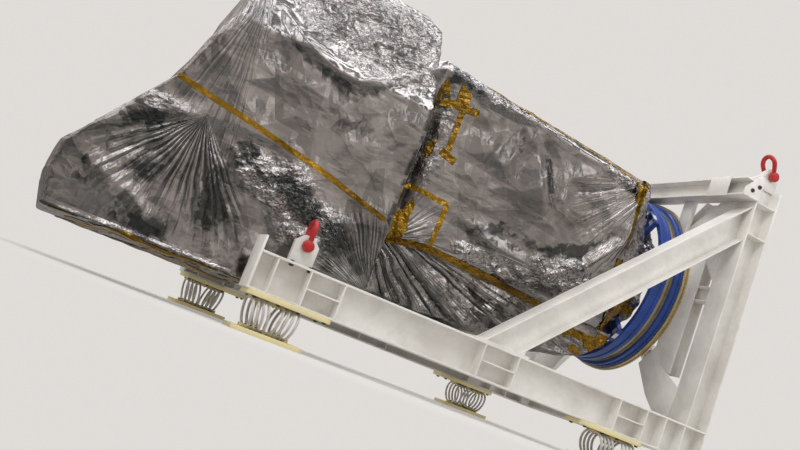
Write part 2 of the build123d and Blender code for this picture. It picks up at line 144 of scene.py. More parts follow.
@dataclass(frozen=True)
class Graph:
    """A shader's node tree, and the short ways to add to it."""

    tree: NodeTree

    def feed(self, node: Node, inputs: dict) -> Node:
        """Links a node's inputs or gives them values of their own.

        Args:
            node: The node.
            inputs: A socket, number, vector or colour for each input, by its name or index.

        Returns:
            The node.
        """
        for key, value in inputs.items():
            socket = node.inputs[key]
            if isinstance(value, NodeSocket):
                self.tree.links.new(value, socket)
            else:
                socket.default_value = (*value, 1.0) if socket.type == "RGBA" else value
        return node

    def node(self, kind: str, inputs: dict | None = None, **options: object) -> Node:
        """Adds a node.

        Args:
            kind: Its type, without the word that every shader node's type starts with.
            inputs: What its inputs get.
            options: Its own properties.

        Returns:
            The node.
        """
        made = self.tree.nodes.new("ShaderNode" + kind)
        for key, value in options.items():
            setattr(made, key, value)
        return self.feed(made, inputs or {})

    def use(self, group: NodeTree, **values: Number) -> Node:
        """Places a group, whose inputs are given by their names in lower case."""
        return self.node("Group", {key.capitalize(): value for key, value in values.items()}, node_tree=group)

    def spot(self) -> NodeSocket:
        """Gives the point of the object that is shaded."""
        return self.node("TexCoord").outputs["Object"]

    def noise(self, spot: NodeSocket, scale: float, detail: float) -> NodeSocket:
        """Gives plain noise that is read at a point."""
        return self.node("TexNoise", {"Vector": spot, "Scale": scale, "Detail": detail}).outputs["Fac"]

    def maths(self, operation: str, *values: Number, clamp: bool = False) -> NodeSocket:
        """Works out a number from sockets and numbers."""
        return self.node("Math", dict(enumerate(values)), operation=operation, use_clamp=clamp).outputs[0]

    def spread(self, value: Number, low: Number, high: Number,
               bottom: float = 0.0, top: float = 1.0) -> NodeSocket:
        """Spreads what lies between low and high over bottom to top, and holds the rest at its ends.

        Args:
            value: The number that is read.
            low: The least that is spread.
            high: The most that is spread.
            bottom: What low gives.
            top: What high gives.

        Returns:
            The spread number.
        """
        limits = {"From Min": low, "From Max": high, "To Min": bottom, "To Max": top}
        return self.node("MapRange", {"Value": value, **limits}, clamp=True).outputs[0]

    def mix(self, factor: Number, first: Tint, second: Tint, blend: str = "MIX") -> NodeSocket:
        """Adds a colour mix.

        Args:
            factor: How much of the second there is.
            first: The colour below.
            second: The colour above.
            blend: How the second goes over the first.

        Returns:
            The mixed colour.
        """
        inputs = {0: factor, 6: first, 7: second}
        return self.node("Mix", inputs, data_type="RGBA", blend_type=blend).outputs[2]

    def blend(self, factor: NodeSocket, first: NodeSocket, second: NodeSocket) -> NodeSocket:
        """Goes from the first shader to the second."""
        return self.node("MixShader", {0: factor, 1: first, 2: second}).outputs[0]

    def ramp(self, factor: NodeSocket, stops: list[tuple[float, Colour]]) -> NodeSocket:
        """Adds a colour ramp.

        Args:
            factor: What it reads.
            stops: Place and colour of each stop.

        Returns:
            Its colour.
        """
        node = self.node("ValToRGB", {0: factor})
        elements = node.color_ramp.elements
        while len(elements) < len(stops):
            elements.new(1.0)
        for element, (at, colour) in zip(elements, stops):
            element.position = at
            element.color = (*colour, 1.0)
        return node.outputs[0]


def start_group(name: str, inputs: dict[str, float], *outputs: str) -> tuple[Graph, dict, Node]:
    """Starts a shader node group whose inputs and outputs are plain numbers.

    Args:
        name: The group's name.
        inputs: Name and default of each number that goes in.
        outputs: Name of each number that comes out.

    Returns:
        The group's graph, the sockets that carry its inputs, and the node that takes its outputs.
    """
    group = bpy.data.node_groups.new(name, "ShaderNodeTree")
    for label, value in inputs.items():
        socket = group.interface.new_socket(label, in_out="INPUT", socket_type="NodeSocketFloat")
        socket.default_value = value
    for label in outputs:
        group.interface.new_socket(label, in_out="OUTPUT", socket_type="NodeSocketFloat")
    given = dict(group.nodes.new("NodeGroupInput").outputs.items())
    return Graph(group), given, group.nodes.new("NodeGroupOutput")


def edge_wear_group() -> NodeTree:
    """Makes the mask of rubbed edges: where the rounded normal leaves the flat one, broken by noise.

    Returns:
        The group, with a Mask output.
    """
    graph, given, out = start_group("edge wear", {"Radius": 0.006, "Amount": 1.0}, "Mask")
    rounded = graph.node("Bevel", {"Radius": given["Radius"]}, samples=4)
    flat = graph.node("NewGeometry")
    normals = {0: rounded.outputs[0], 1: flat.outputs["Normal"]}
    dot = graph.node("VectorMath", normals, operation="DOT_PRODUCT")
    grain = graph.noise(graph.spot(), 38.0, 4.0)
    bent = graph.maths("MULTIPLY", graph.maths("SUBTRACT", 1.0, dot.outputs["Value"]), 7.0)
    rough = graph.maths("MULTIPLY", bent, graph.maths("POWER", grain, 2.0))
    graph.feed(out, {"Mask": graph.maths("MULTIPLY", rough, given["Amount"], clamp=True)})
    return graph.tree


def cloud_group() -> NodeTree:
    """Makes soft uneven patches, for dust, stains and uneven finish.

    Returns:
        The group, with a Mask output.
    """
    graph, given, out = start_group("uneven patches", {"Scale": 3.0, "Low": 0.4, "High": 0.7}, "Mask")
    broad = graph.node("TexNoise", {
        "Vector": graph.spot(), "Scale": given["Scale"], "Detail": 6.0, "Roughness": 0.62, "Distortion": 0.4,
    })
    graph.feed(out, {"Mask": graph.spread(broad.outputs["Fac"], given["Low"], given["High"])})
    return graph.tree


def facet_group() -> NodeTree:
    """Makes crumpled foil's relief: flat facets with straight ridges and valleys.

    A Voronoi pattern measured in straight steps rises evenly from each cell's point, so it is made of
    planes that meet in sharp edges.

    Returns:
        The group, with a Height output in metres and a Tone output, one value for each facet's cell.
    """
    inputs = {"Scale": 12.0, "Slope": 0.1, "Turn": 0.0}
    graph, given, out = start_group("foil facets", inputs, "Height", "Tone")
    turn = {"Vector": graph.spot(), "Axis": (0.42, 0.71, 0.56), "Angle": given["Turn"]}
    turned = graph.node("VectorRotate", turn)
    stretched = graph.node("VectorMath", {0: turned.outputs[0], 1: (1.0, 0.7, 0.38)}, operation="MULTIPLY")
    pattern = {"Vector": stretched.outputs[0], "Scale": given["Scale"], "Randomness": 1.0}
    cells = graph.node("TexVoronoi", pattern, feature="F1", distance="MANHATTAN")
    rise = graph.maths("DIVIDE", cells.outputs["Distance"], given["Scale"])
    shade = graph.node("SeparateColor", {0: cells.outputs["Color"]})
    graph.feed(out, {"Height": graph.maths("MULTIPLY", rise, given["Slope"]), "Tone": shade.outputs[0]})
    return graph.tree


def pleat_group() -> NodeTree:
    """Makes the relief of pleats that spread from a point of the side view.

    Returns:
        The group, with a Height output in metres and a Tone output that is high in the valleys, for painting
        shade there.
    """
    graph, given, out = start_group("film pleats", {
        "Along": 0.0, "Up": 0.0, "Start": 0.0, "Spread": 1.0, "Count": 9.0, "Reach": 1.0, "Slope": 0.4,
    }, "Height", "Tone")
    maths, spot = graph.maths, graph.spot()
    parts = graph.node("SeparateXYZ", {0: spot}).outputs
    across = maths("SUBTRACT", parts["X"], given["Along"])
    rise = maths("SUBTRACT", parts["Z"], given["Up"])
    radius = maths("SQRT", maths("ADD", maths("MULTIPLY", across, across), maths("MULTIPLY", rise, rise)))
    angle = maths("SUBTRACT", maths("ARCTAN2", rise, across), given["Start"])
    share = maths("DIVIDE", maths("WRAP", angle, 2 * pi, 0.0), given["Spread"])
    line = graph.node("TexNoise", {"W": share, "Scale": 7.0, "Detail": 3.0}, noise_dimensions="1D")
    uneven, drift = line.outputs["Fac"], graph.noise(spot, 3.0, 1.0)
    bent = maths("ADD", maths("MULTIPLY", uneven, 2.2), maths("MULTIPLY", drift, 1.3))
    phase = maths("ADD", maths("MULTIPLY", share, given["Count"]), bent)
    wave = maths("PINGPONG", phase, 0.5)
    edge = maths("MULTIPLY", share, maths("SUBTRACT", 1.0, share))
    fade = graph.spread(maths("DIVIDE", radius, given["Reach"]), 1.0, 0.25)
    shown = maths("MULTIPLY", maths("MULTIPLY", edge, 9.0, clamp=True), fade)
    deep = maths("SUBTRACT", 1.0, maths("MULTIPLY", wave, 2.0))
    width = maths("DIVIDE", maths("MULTIPLY", radius, given["Spread"]), given["Count"])
    height = maths("MULTIPLY", maths("MULTIPLY", wave, maths("POWER", uneven, 0.6)), shown)
    steep = maths("MULTIPLY", height, maths("MULTIPLY", width, given["Slope"]))
    graph.feed(out, {"Height": steep, "Tone": maths("MULTIPLY", deep, shown)})
    return graph.tree


EDGE_WEAR = edge_wear_group()
PATCHES = cloud_group()
FACETS = facet_group()
PLEATS = pleat_group()


# Finishes


@dataclass(frozen=True)
class Finish:
    """A finish, whose material is built at its first use."""

    name: str

    def material(self) -> Material:
        """Gives the material.

        Returns:
            The material, the same one each time.
        """
        made = bpy.data.materials.get(self.name)
        if made is None:
            made = bpy.data.materials.new(self.name)
            made.use_nodes = True
            self.dress(Graph(made.node_tree), made.node_tree.nodes["Principled BSDF"])
        return made

    def dress(self, graph: Graph, shader: Node) -> None:
        """Feeds the material's shader: each kind of finish says how."""


@dataclass(frozen=True)
class Coating(Finish):
    """A paint or plating: its colour, what shows where it is stained or rubbed, and its gloss."""

    colour: Colour
    stain: Colour
    rubbed: Colour
    roughness: float = 0.42
    metallic: float = 0.0
    coat: float = 0.0
    stain_scale: float = 2.6
    stain_low: float = 0.47
    wear: float = 0.8
    grain: float = 0.0006
    grain_scale: float = 260.0

    def dress(self, graph: Graph, shader: Node) -> None:
        """Stains the paint, rubs its edges and gives it a fine grain.

        Args:
            graph: The material's graph.
            shader: Its shader.
        """
        stains = graph.use(PATCHES, scale=self.stain_scale, low=self.stain_low, high=0.78).outputs[0]
        fine = graph.use(PATCHES, scale=self.stain_scale * 9, low=0.35, high=0.75).outputs[0]
        worn = graph.use(EDGE_WEAR, radius=0.005, amount=self.wear).outputs[0]
        stained = graph.mix(stains, self.colour, self.stain)
        flecked = graph.mix(graph.maths("MULTIPLY", fine, 0.35), stained, self.stain)
        pores = graph.noise(graph.spot(), self.grain_scale, 3.0)
        relief = graph.node("Bump", {"Strength": 0.35, "Distance": self.grain, "Height": pores})
        graph.feed(shader, {
            "Base Color": graph.mix(worn, flecked, self.rubbed),
            "Roughness": graph.maths("MULTIPLY_ADD", fine, 0.14, self.roughness - 0.05),
            "Metallic": self.metallic,
            "Coat Weight": self.coat,
            "Coat Roughness": 0.12,
            "Normal": relief.outputs[0],
        })


@dataclass(frozen=True)
class Fan:
    """Pleats that spread from a point of the side view, as film does where it is gathered."""

    centre: ChartPoint
    reach: float
    angles: tuple[float, float]
    pleats: int
    slope: float = 0.5
    # How much painted shade the pleats' valleys get.
    dark: float = 0.6
    fold: float = 0.15

    def relief(self, chart: np.ndarray) -> np.ndarray:
        """Gives the broad folds that carry the pleats, one for each pair of them.

        Args:
            chart: The points.

        Returns:
            Heights in metres.
        """
        away = chart - np.array(self.centre)
        radius = np.linalg.norm(away, axis=1)
        low, high = np.radians(self.angles)
        share = np.mod(np.arctan2(away[:, 1], away[:, 0]) - low, 2 * pi) / (high - low)
        shown = np.clip(9 * share * (1 - share), 0, 1) * np.clip((1 - radius / self.reach) / 0.75, 0, 1)
        wave = np.abs(np.mod(share * self.pleats / 2, 1) - 0.5) - 0.25
        return wave * 2 * radius * (high - low) / self.pleats * self.fold * shown

    def place(self, graph: Graph) -> Node:
        """Places the fine pleats in a material.

        Args:
            graph: The material's graph.

        Returns:
            The node that gives their height and tone.
        """
        centre = DATUM.place(self.centre[0], 0.0, self.centre[1])
        low, high = (radians(angle) for angle in self.angles)
        return graph.use(PLEATS, along=centre.x, up=centre.z, start=low, spread=high - low,
                         count=self.pleats, reach=self.reach, slope=self.slope)


@dataclass(frozen=True)
class Foil(Finish):
    """A metallised film or tape: mirror-like, with facets, pleats and fine crinkles in its relief, and
    painted reflection and painted shade in its colour.
    """

    colour: Colour
    shade: Colour
    roughness: float = 0.17
    metallic: float = 1.0
    facet_slope: float = 0.042
    crinkle_slope: float = 0.50
    crinkle_scale: float = 9.0
    # The next three fields paint light into the colour: how strong the facets' painted reflection is, its
    # darkest colour, then the colour that painted shade reaches.
    painted_facet_reflection: float = 0.38
    deep: Colour = (0.24, 0.27, 0.26)
    dark: Colour = (0.090, 0.095, 0.092)
    fans: tuple[Fan, ...] = ()

    def tinted(self, graph: Graph) -> NodeSocket:
        """Gives the foil's colour: uneven, and with a painted reflection that makes some facets darker.

        Args:
            graph: The material's graph.

        Returns:
            The colour.
        """
        tint = graph.use(PATCHES, scale=1.7, low=0.38, high=0.66).outputs[0]
        colour = graph.mix(tint, self.colour, self.shade)
        stops = [(0.0, self.deep), (0.35, (0.75, 0.75, 0.75)), (0.7, (1.0, 1.0, 1.0))]
        # Painted reflection: each facet gets a random tone that stands in for what it mirrors, down to the
        # deep colour.
        for scale, turn, depth in ((2.6, 0.4, self.painted_facet_reflection), (6.0, 2.6, self.painted_facet_reflection * 0.8)):
            cell = graph.use(FACETS, scale=scale, slope=0.0, turn=turn)
            colour = graph.mix(depth, colour, graph.ramp(cell.outputs["Tone"], stops), "MULTIPLY")
        return colour

    def creased(self, graph: Graph) -> NodeSocket:
        """Gives the relief of the foil's facets, crinkled where the mesh's attribute says so.

        Args:
            graph: The material's graph.

        Returns:
            The height in metres.
        """
        height = 0.0
        for times, turn, steep in ((1.0, 0.9, 0.8), (2.1, 2.2, 1.0), (4.3, 3.9, 0.8)):
            scale, slope = self.crinkle_scale * times, self.crinkle_slope * steep
            fine = graph.use(FACETS, scale=scale, slope=slope, turn=turn)
            height = graph.maths("ADD", height, fine.outputs["Height"])
        crumpled = graph.node("Attribute", attribute_name="crinkle")
        height = graph.maths("MULTIPLY", height, crumpled.outputs["Fac"])
        for scale, turn, steep in ((1.9, 0.5, 1.0), (3.4, 1.7, 1.0), (8.0, 4.4, 0.6)):
            calm = graph.use(FACETS, scale=scale, slope=self.facet_slope * steep, turn=turn)
            height = graph.maths("ADD", height, calm.outputs["Height"])
        return height

    def painted_shade(self, graph: Graph) -> NodeSocket:
        """Gives the mask of painted shade: the dark that the foil would mirror, painted into its colour and
        broken up by facets.

        Args:
            graph: The material's graph.

        Returns:
            The mask, before the pleats' valleys join it.
        """
        shade = graph.node("Attribute", attribute_name="shade")
        broken = 0.0
        for scale, turn, share in ((4.6, 5.3, 0.55), (10.0, 1.1, 0.55), (21.0, 2.9, 0.40)):
            cell = graph.use(FACETS, scale=scale, slope=0.0, turn=turn)
            broken = graph.maths("ADD", broken, graph.maths("MULTIPLY", cell.outputs["Tone"], share))
        return graph.maths("MULTIPLY", shade.outputs["Fac"], broken)

    def dress(self, graph: Graph, shader: Node) -> None:
        """Folds and pleats the foil, and paints shade into its colour.

        Args:
            graph: The material's graph.
            shader: Its shader.
        """
        height, dark = self.creased(graph), self.painted_shade(graph)
        # Each fan paints shade into its pleats' valleys, which joins the painted shade mask.
        for fan in self.fans:
            pleated = fan.place(graph).outputs
            height = graph.maths("ADD", height, pleated["Height"])
            dark = graph.maths("MAXIMUM", dark, graph.maths("MULTIPLY", pleated["Tone"], fan.dark))
        relief = graph.node("Bump", {"Strength": 1.0, "Distance": 1.0, "Height": height})
        haze = graph.use(PATCHES, scale=6.0, low=0.4, high=0.8).outputs[0]
        # The painted shade mask mixes the foil's colour towards the dark colour.
        graph.feed(shader, {
            "Base Color": graph.mix(graph.spread(dark, 0.22, 0.48, 0.0, 0.94), self.tinted(graph), self.dark),
            "Roughness": graph.maths("MULTIPLY_ADD", haze, 0.08, self.roughness - 0.04),
            "Metallic": self.metallic,
            "Normal": relief.outputs[0],
        })


GREY = Coating("pale grey steel paint", (0.80, 0.78, 0.74), (0.60, 0.57, 0.525), (0.50, 0.48, 0.45))
WHITE = Coating("white lug paint", (0.74, 0.73, 0.70), (0.60, 0.58, 0.54), (0.45, 0.44, 0.42), coat=0.2)
CHROMATE = Coating("yellow chromate plating", (0.86, 0.74, 0.40), (0.70, 0.66, 0.42), (0.74, 0.70, 0.58),
                   roughness=0.38, metallic=0.15, stain_scale=7.0)
ROPE = Coating("stainless wire rope", (0.66, 0.64, 0.61), (0.42, 0.40, 0.37), (0.74, 0.73, 0.70),
               roughness=0.34, metallic=0.25, stain_scale=14.0, grain_scale=700.0, wear=0.2)
BAR_PLATE = Coating("plated clamp bar", (0.78, 0.66, 0.32), (0.55, 0.46, 0.24), (0.70, 0.66, 0.52),
                    roughness=0.36, metallic=0.25, stain_scale=12.0)
RED = Coating("red shackle paint", (0.46, 0.020, 0.018), (0.27, 0.012, 0.012), (0.16, 0.07, 0.06),
              roughness=0.30, coat=0.35, stain_scale=16.0, wear=1.0)
BLUE = Coating("blue ring paint", (0.020, 0.075, 0.36), (0.012, 0.035, 0.18), (0.20, 0.24, 0.34),
               roughness=0.32, coat=0.3, stain_scale=5.0)
GOLD = Coating("pale gold plating", (0.74, 0.62, 0.36), (0.55, 0.44, 0.24), (0.80, 0.74, 0.60),
               roughness=0.30, metallic=0.85, stain_scale=6.0)
BAND = Coating("clamp band alloy", (0.66, 0.58, 0.38), (0.42, 0.35, 0.22), (0.78, 0.74, 0.64),
               roughness=0.34, metallic=0.9, stain_scale=8.0)
DARK = Coating("dark bolt steel", (0.075, 0.072, 0.070), (0.05, 0.045, 0.04), (0.30, 0.29, 0.28),
               roughness=0.40, metallic=0.7, stain_scale=20.0)
TAG = Coating("white tag", (0.80, 0.80, 0.78), (0.68, 0.67, 0.63), (0.60, 0.59, 0.56), roughness=0.5)
FILM_COLOUR, FILM_SHADE = (0.56, 0.53, 0.515), (0.47, 0.45, 0.43)
AMBER = Foil("amber polyimide tape", (0.47, 0.265, 0.022), (0.22, 0.115, 0.013), roughness=0.20,
             metallic=0.72, facet_slope=0.10, crinkle_slope=0.42, crinkle_scale=8.0)


# Mesh helpers


def put(name: str, data: ID) -> Object:
    """Places new data in the scene as an object.

    Args:
        name: The object's name.
        data: A mesh, curve, lamp or camera.

    Returns:
        The object.
    """
    placed = bpy.data.objects.new(name, data)
    bpy.context.scene.collection.objects.link(placed)
    return placed


def mesh_of(shape: BMesh, name: str) -> Mesh:
    """Turns a shape into a mesh, and frees it.

    Args:
        shape: The shape.
        name: The mesh's name.

    Returns:
        The mesh.
    """
    mesh = bpy.data.meshes.new(name)
    shape.to_mesh(mesh)
    shape.free()
    return mesh


def add_mesh(shape: BMesh, mesh: Mesh) -> BMesh:
    """Adds a finished mesh to a shape.

    Args:
        shape: The shape that gets it.
        mesh: The mesh, which is dropped.

    Returns:
        The shape.
    """
    shape.from_mesh(mesh)
    bpy.data.meshes.remove(mesh)
    return shape


def evaluated(data: Curve | Mesh, voxel: float = 0.0) -> Mesh:
    """Turns a curve into a mesh, or covers a mesh anew with even faces.

    Args:
        data: The curve or mesh, which is dropped.
        voxel: The even faces' size, where there are any.

    Returns:
        The mesh.
    """
    holder = put("holder", data)
    if voxel:
        even = holder.modifiers.new("even", "REMESH")
        even.mode = "VOXEL"
        even.voxel_size = voxel
    mesh = bpy.data.meshes.new_from_object(holder.evaluated_get(bpy.context.evaluated_depsgraph_get()))
    bpy.data.batch_remove([holder, data])
    return mesh


def node_copy(node: str) -> BMesh:
    """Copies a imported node's mesh, merged into one clean surface.

    Args:
        node: The node's name.

    Returns:
        The copy.
    """
    shape = bmesh.new()
    shape.from_mesh(frame["nodes"][node].data)
    bmesh.ops.remove_doubles(shape, verts=shape.verts, dist=2e-5)
    bmesh.ops.dissolve_limit(
        shape, angle_limit=radians(1.0), verts=shape.verts, edges=shape.edges, delimit=set()
    )
    return shape


@cache
def node_box(node: str) -> tuple[Vector, Vector]:
    """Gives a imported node's lowest and highest corners, which are worked out once."""
    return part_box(node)


def make_piece(shape: BMesh, name: str, coat: Finish, slot: Slot, body: str = BODY,
               smooth: float = 32.0, stands_for: tuple[str, ...] = ()) -> Object:
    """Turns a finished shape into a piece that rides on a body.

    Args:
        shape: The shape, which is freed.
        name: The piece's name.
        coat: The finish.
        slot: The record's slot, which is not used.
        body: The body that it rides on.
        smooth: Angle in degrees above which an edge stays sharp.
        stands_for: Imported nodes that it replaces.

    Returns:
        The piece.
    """
    mesh = mesh_of(shape, name)
    mesh.materials.append(coat.material())
    mesh.polygons.foreach_set("use_smooth", [True] * len(mesh.polygons))
    mesh.set_sharp_from_angle(angle=radians(smooth))
    piece = put(name, mesh)
    if stands_for:
        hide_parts(*stands_for)
    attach(piece, body)
    LOG.info("%s: %d faces", name, len(mesh.polygons))
    return piece


def bevel_sharp(shape: BMesh, width: float, segments: int = 2, angle: float = 30.0) -> None:
    """Rounds the sharp edges of a shape.

    Args:
        shape: The shape.
        width: The rounding's width.
        segments: Steps across it.
        angle: Least angle, in degrees, between two faces of a sharp edge.
    """
    sharp = [e for e in shape.edges if len(e.link_faces) == 2 and e.calc_face_angle(0.0) > radians(angle)]
    bmesh.ops.bevel(
        shape, geom=sharp, offset=width, segments=segments, profile=0.5, affect="EDGES",
        clamp_overlap=True, material=-1, loop_slide=True,
    )


def relax(shape: BMesh, verts: list[BMVert], times: int) -> None:
    """Smooths some of a shape's vertices, and brings its normals up to date.

    Args:
        shape: The shape.
        verts: The vertices.
        times: How often they are smoothed.
    """
    for _ in range(times):
        bmesh.ops.smooth_vert(
            shape, verts=verts, factor=0.5, use_axis_x=True, use_axis_y=True, use_axis_z=True
        )
    shape.normal_update()


def add_box(shape: BMesh, low: Point, high: Point) -> list[BMVert]:
    """Adds a box between two corners.

    Args:
        shape: The shape that gets it.
        low: Its lowest corner.
        high: Its highest corner.

    Returns:
        The box's vertices.
    """
    low, high = Vector(low), Vector(high)
    place = Matrix.Translation((low + high) / 2) @ Matrix.Diagonal((*(high - low), 1.0))
    return bmesh.ops.create_cube(shape, size=1.0, matrix=place)["verts"]


def add_disc(shape: BMesh, at: Vector, axis: Vector, radius: float, depth: float, sides: int = 6,
             top: float | None = None) -> None:
    """Adds a bolt head, nut or pin: a closed prism that stands on a point.

    Args:
        shape: The shape that gets it.
        at: Centre of its foot.
        axis: The way that it points, as a unit vector.
        radius: Its radius.
        depth: Its height.
        sides: How many sides it has.
        top: Radius of its top, where that differs.
    """
    centre = Matrix.Translation(at + axis * depth / 2)
    bmesh.ops.create_cone(
        shape, cap_ends=True, segments=sides, radius1=radius, radius2=radius if top is None else top,
        depth=depth, matrix=centre @ axis.to_track_quat("Z", "Y").to_matrix().to_4x4(),
    )


def add_bolt(shape: BMesh, at: Vector, axis: Vector, size: float) -> None:
    """Adds a washer, a hexagon head and its domed top.

    Args:
        shape: The shape that gets it.
        at: Centre of its seat.
        axis: The way that it points, as a unit vector.
        size: The thread's diameter.
    """
    add_disc(shape, at, axis, size * 1.05, size * 0.15, 16)
    add_disc(shape, at + axis * size * 0.15, axis, size * 0.9, size * 0.55, 6)
    add_disc(shape, at + axis * size * 0.70, axis, size * 0.72, size * 0.10, 12, size * 0.5)


def tube_mesh(lines: list[list[Vector]], radius: float, sides: int, closed: bool = False,
              radii: list[list[float]] | None = None) -> Mesh:
    """Makes tubes that follow lines of points.

    Args:
        lines: The points of each tube's centre line.
        radius: The tubes' radius.
        sides: The bevel's resolution, 0 for four sides and 1 for six.
        closed: True where each line joins its own start.
        radii: Factors on the radius at each point.

    Returns:
        The mesh.
    """
    curve = bpy.data.curves.new("tube", "CURVE")
    curve.dimensions = "3D"
    curve.bevel_depth = radius
    curve.bevel_resolution = sides
    curve.use_fill_caps = not closed
    for index, line in enumerate(lines):
        spline = curve.splines.new("POLY")
        spline.points.add(len(line) - 1)
        spline.points.foreach_set("co", [value for point in line for value in (*point, 1.0)])
        if radii:
            spline.points.foreach_set("radius", radii[index])
        spline.use_cyclic_u = closed
    return evaluated(curve)


# Numpy fields that fold and crumple the film


def smooth_step(value: np.ndarray, low: float, high: float) -> np.ndarray:
    """Goes smoothly from 0 at low to 1 at high."""
    part = np.clip((value - low) / (high - low), 0, 1)
    return part * part * (3 - 2 * part)


def triangle(phase: np.ndarray) -> np.ndarray:
    """Triangular wave from -1 to 1, with straight flanks and sharp crests."""
    return 4 * np.abs(phase - np.floor(phase) - 0.5) - 1


def cell_keys(cells: np.ndarray) -> np.ndarray:
    """Gives each lattice cell a number from 0 to 4095."""
    mixed = (cells[:, 0] * 73856093) ^ (cells[:, 1] * 19349663) ^ (cells[:, 2] * 83492791)
    return mixed & 4095


def soft_noise(points: np.ndarray, size: float, seed: int) -> np.ndarray:
    """Smooth noise.

    Args:
        points: Where it is read.
        size: Its feature size in metres.
        seed: Its seed.

    Returns:
        Values from -1 to 1.
    """
    table = np.random.default_rng(seed).uniform(-1, 1, 4096)
    spot = points / size + 13.7 * seed
    base = np.floor(spot).astype(np.int64)
    part = spot - base
    part = part * part * (3 - 2 * part)
    total = np.zeros(len(points))
    for corner in product((0, 1), repeat=3):
        weight = np.prod(np.where(corner, part, 1 - part), axis=1)
        total += weight * table[cell_keys(base + np.array(corner))]
    return total


def crumple(points: np.ndarray, size: float, slope: float, seed: int) -> np.ndarray:
    """Relief of crumpled foil: planes that meet in straight ridges and valleys.

    Args:
        points: Where it is read.
        size: The facets' size in metres.
        slope: How steep they are.
        seed: Its seed.

    Returns:
        Heights in metres.
    """
    rng = np.random.default_rng(seed)
    jitter = rng.uniform(0, 1, (4096, 3))
    turn = np.linalg.qr(rng.normal(size=(3, 3)))[0]
    spots = points @ turn / size
    home = np.floor(spots).astype(np.int64)
    nearest = np.full(len(points), 1e9)
    for step in product((-1, 0, 1), repeat=3):
        cells = home + np.array(step)
        gap = np.abs(spots - cells - jitter[cell_keys(cells)]).sum(axis=1)
        nearest = np.minimum(nearest, gap)
    return slope * size * (nearest - 0.9)


def long_folds(points: np.ndarray, length: float, slope: float, count: int, seed: int) -> np.ndarray:
    """Relief of straight folds that cross each other and fade in and out.

    Args:
        points: Where it is read.
        length: Their mean spacing in metres.
        slope: How steep their flanks are.
        count: How many sets there are.
        seed: Their seed.

    Returns:
        Heights in metres.
    """
    rng = np.random.default_rng(seed)
    total = np.zeros(len(points))
    for index in range(count):
        way = rng.normal(size=3)
        way /= np.linalg.norm(way)
        spacing = length * rng.uniform(0.6, 1.5)
        bend = 0.22 * soft_noise(points, 0.9, seed + 31 * index)
        wave = triangle(points @ way / spacing + bend + rng.uniform())
        shown = smooth_step(soft_noise(points, 0.8, seed + 31 * index + 7), -0.15, 0.45)
        total += wave * shown * spacing * slope / 4
    return total


@dataclass(frozen=True)
class Crease:
    """A tent-shaped fold, or a band of painted shade, that follows a line of chart points."""

    route: tuple[ChartPoint, ...]
    height: float
    width: float

    def relief(self, chart: np.ndarray) -> np.ndarray:
        """Gives its height at each chart point.

        Args:
            chart: The points.

        Returns:
            Heights in metres, or weights for a band of painted shade.
        """
        spots = np.array(self.route)
        runs = np.diff(spots, axis=0)
        lengths = np.linalg.norm(runs, axis=1)
        walked = np.concatenate(([0.0], np.cumsum(lengths)))
        nearest = np.full(len(chart), 1e9)
        place = np.zeros(len(chart))
        for start, run, length, before in zip(spots, runs, lengths, walked):
            along = np.clip(((chart - start) @ run) / length ** 2, 0, 1)
            away = np.linalg.norm(chart - start - along[:, None] * run, axis=1)
            place = np.where(away < nearest, before + along * length, place)
            nearest = np.minimum(nearest, away)
        taper = np.clip(5 * np.minimum(place, walked[-1] - place) / walked[-1], 0, 1)
        return self.height * taper * np.clip(1 - nearest / self.width, 0, 1)


@dataclass(frozen=True)
class Patch:
    """An area of a chart where the film is crinkled or amber film is stuck."""

    centre: ChartPoint
    radii: tuple[float, float]
    amount: float

    def weight(self, chart: np.ndarray) -> np.ndarray:
        """Gives how much it counts at each chart point, from 0 to its amount."""
        out = (chart - np.array(self.centre)) / np.array(self.radii)
        return self.amount * (1 - smooth_step(np.linalg.norm(out, axis=1), 0.45, 1.0))


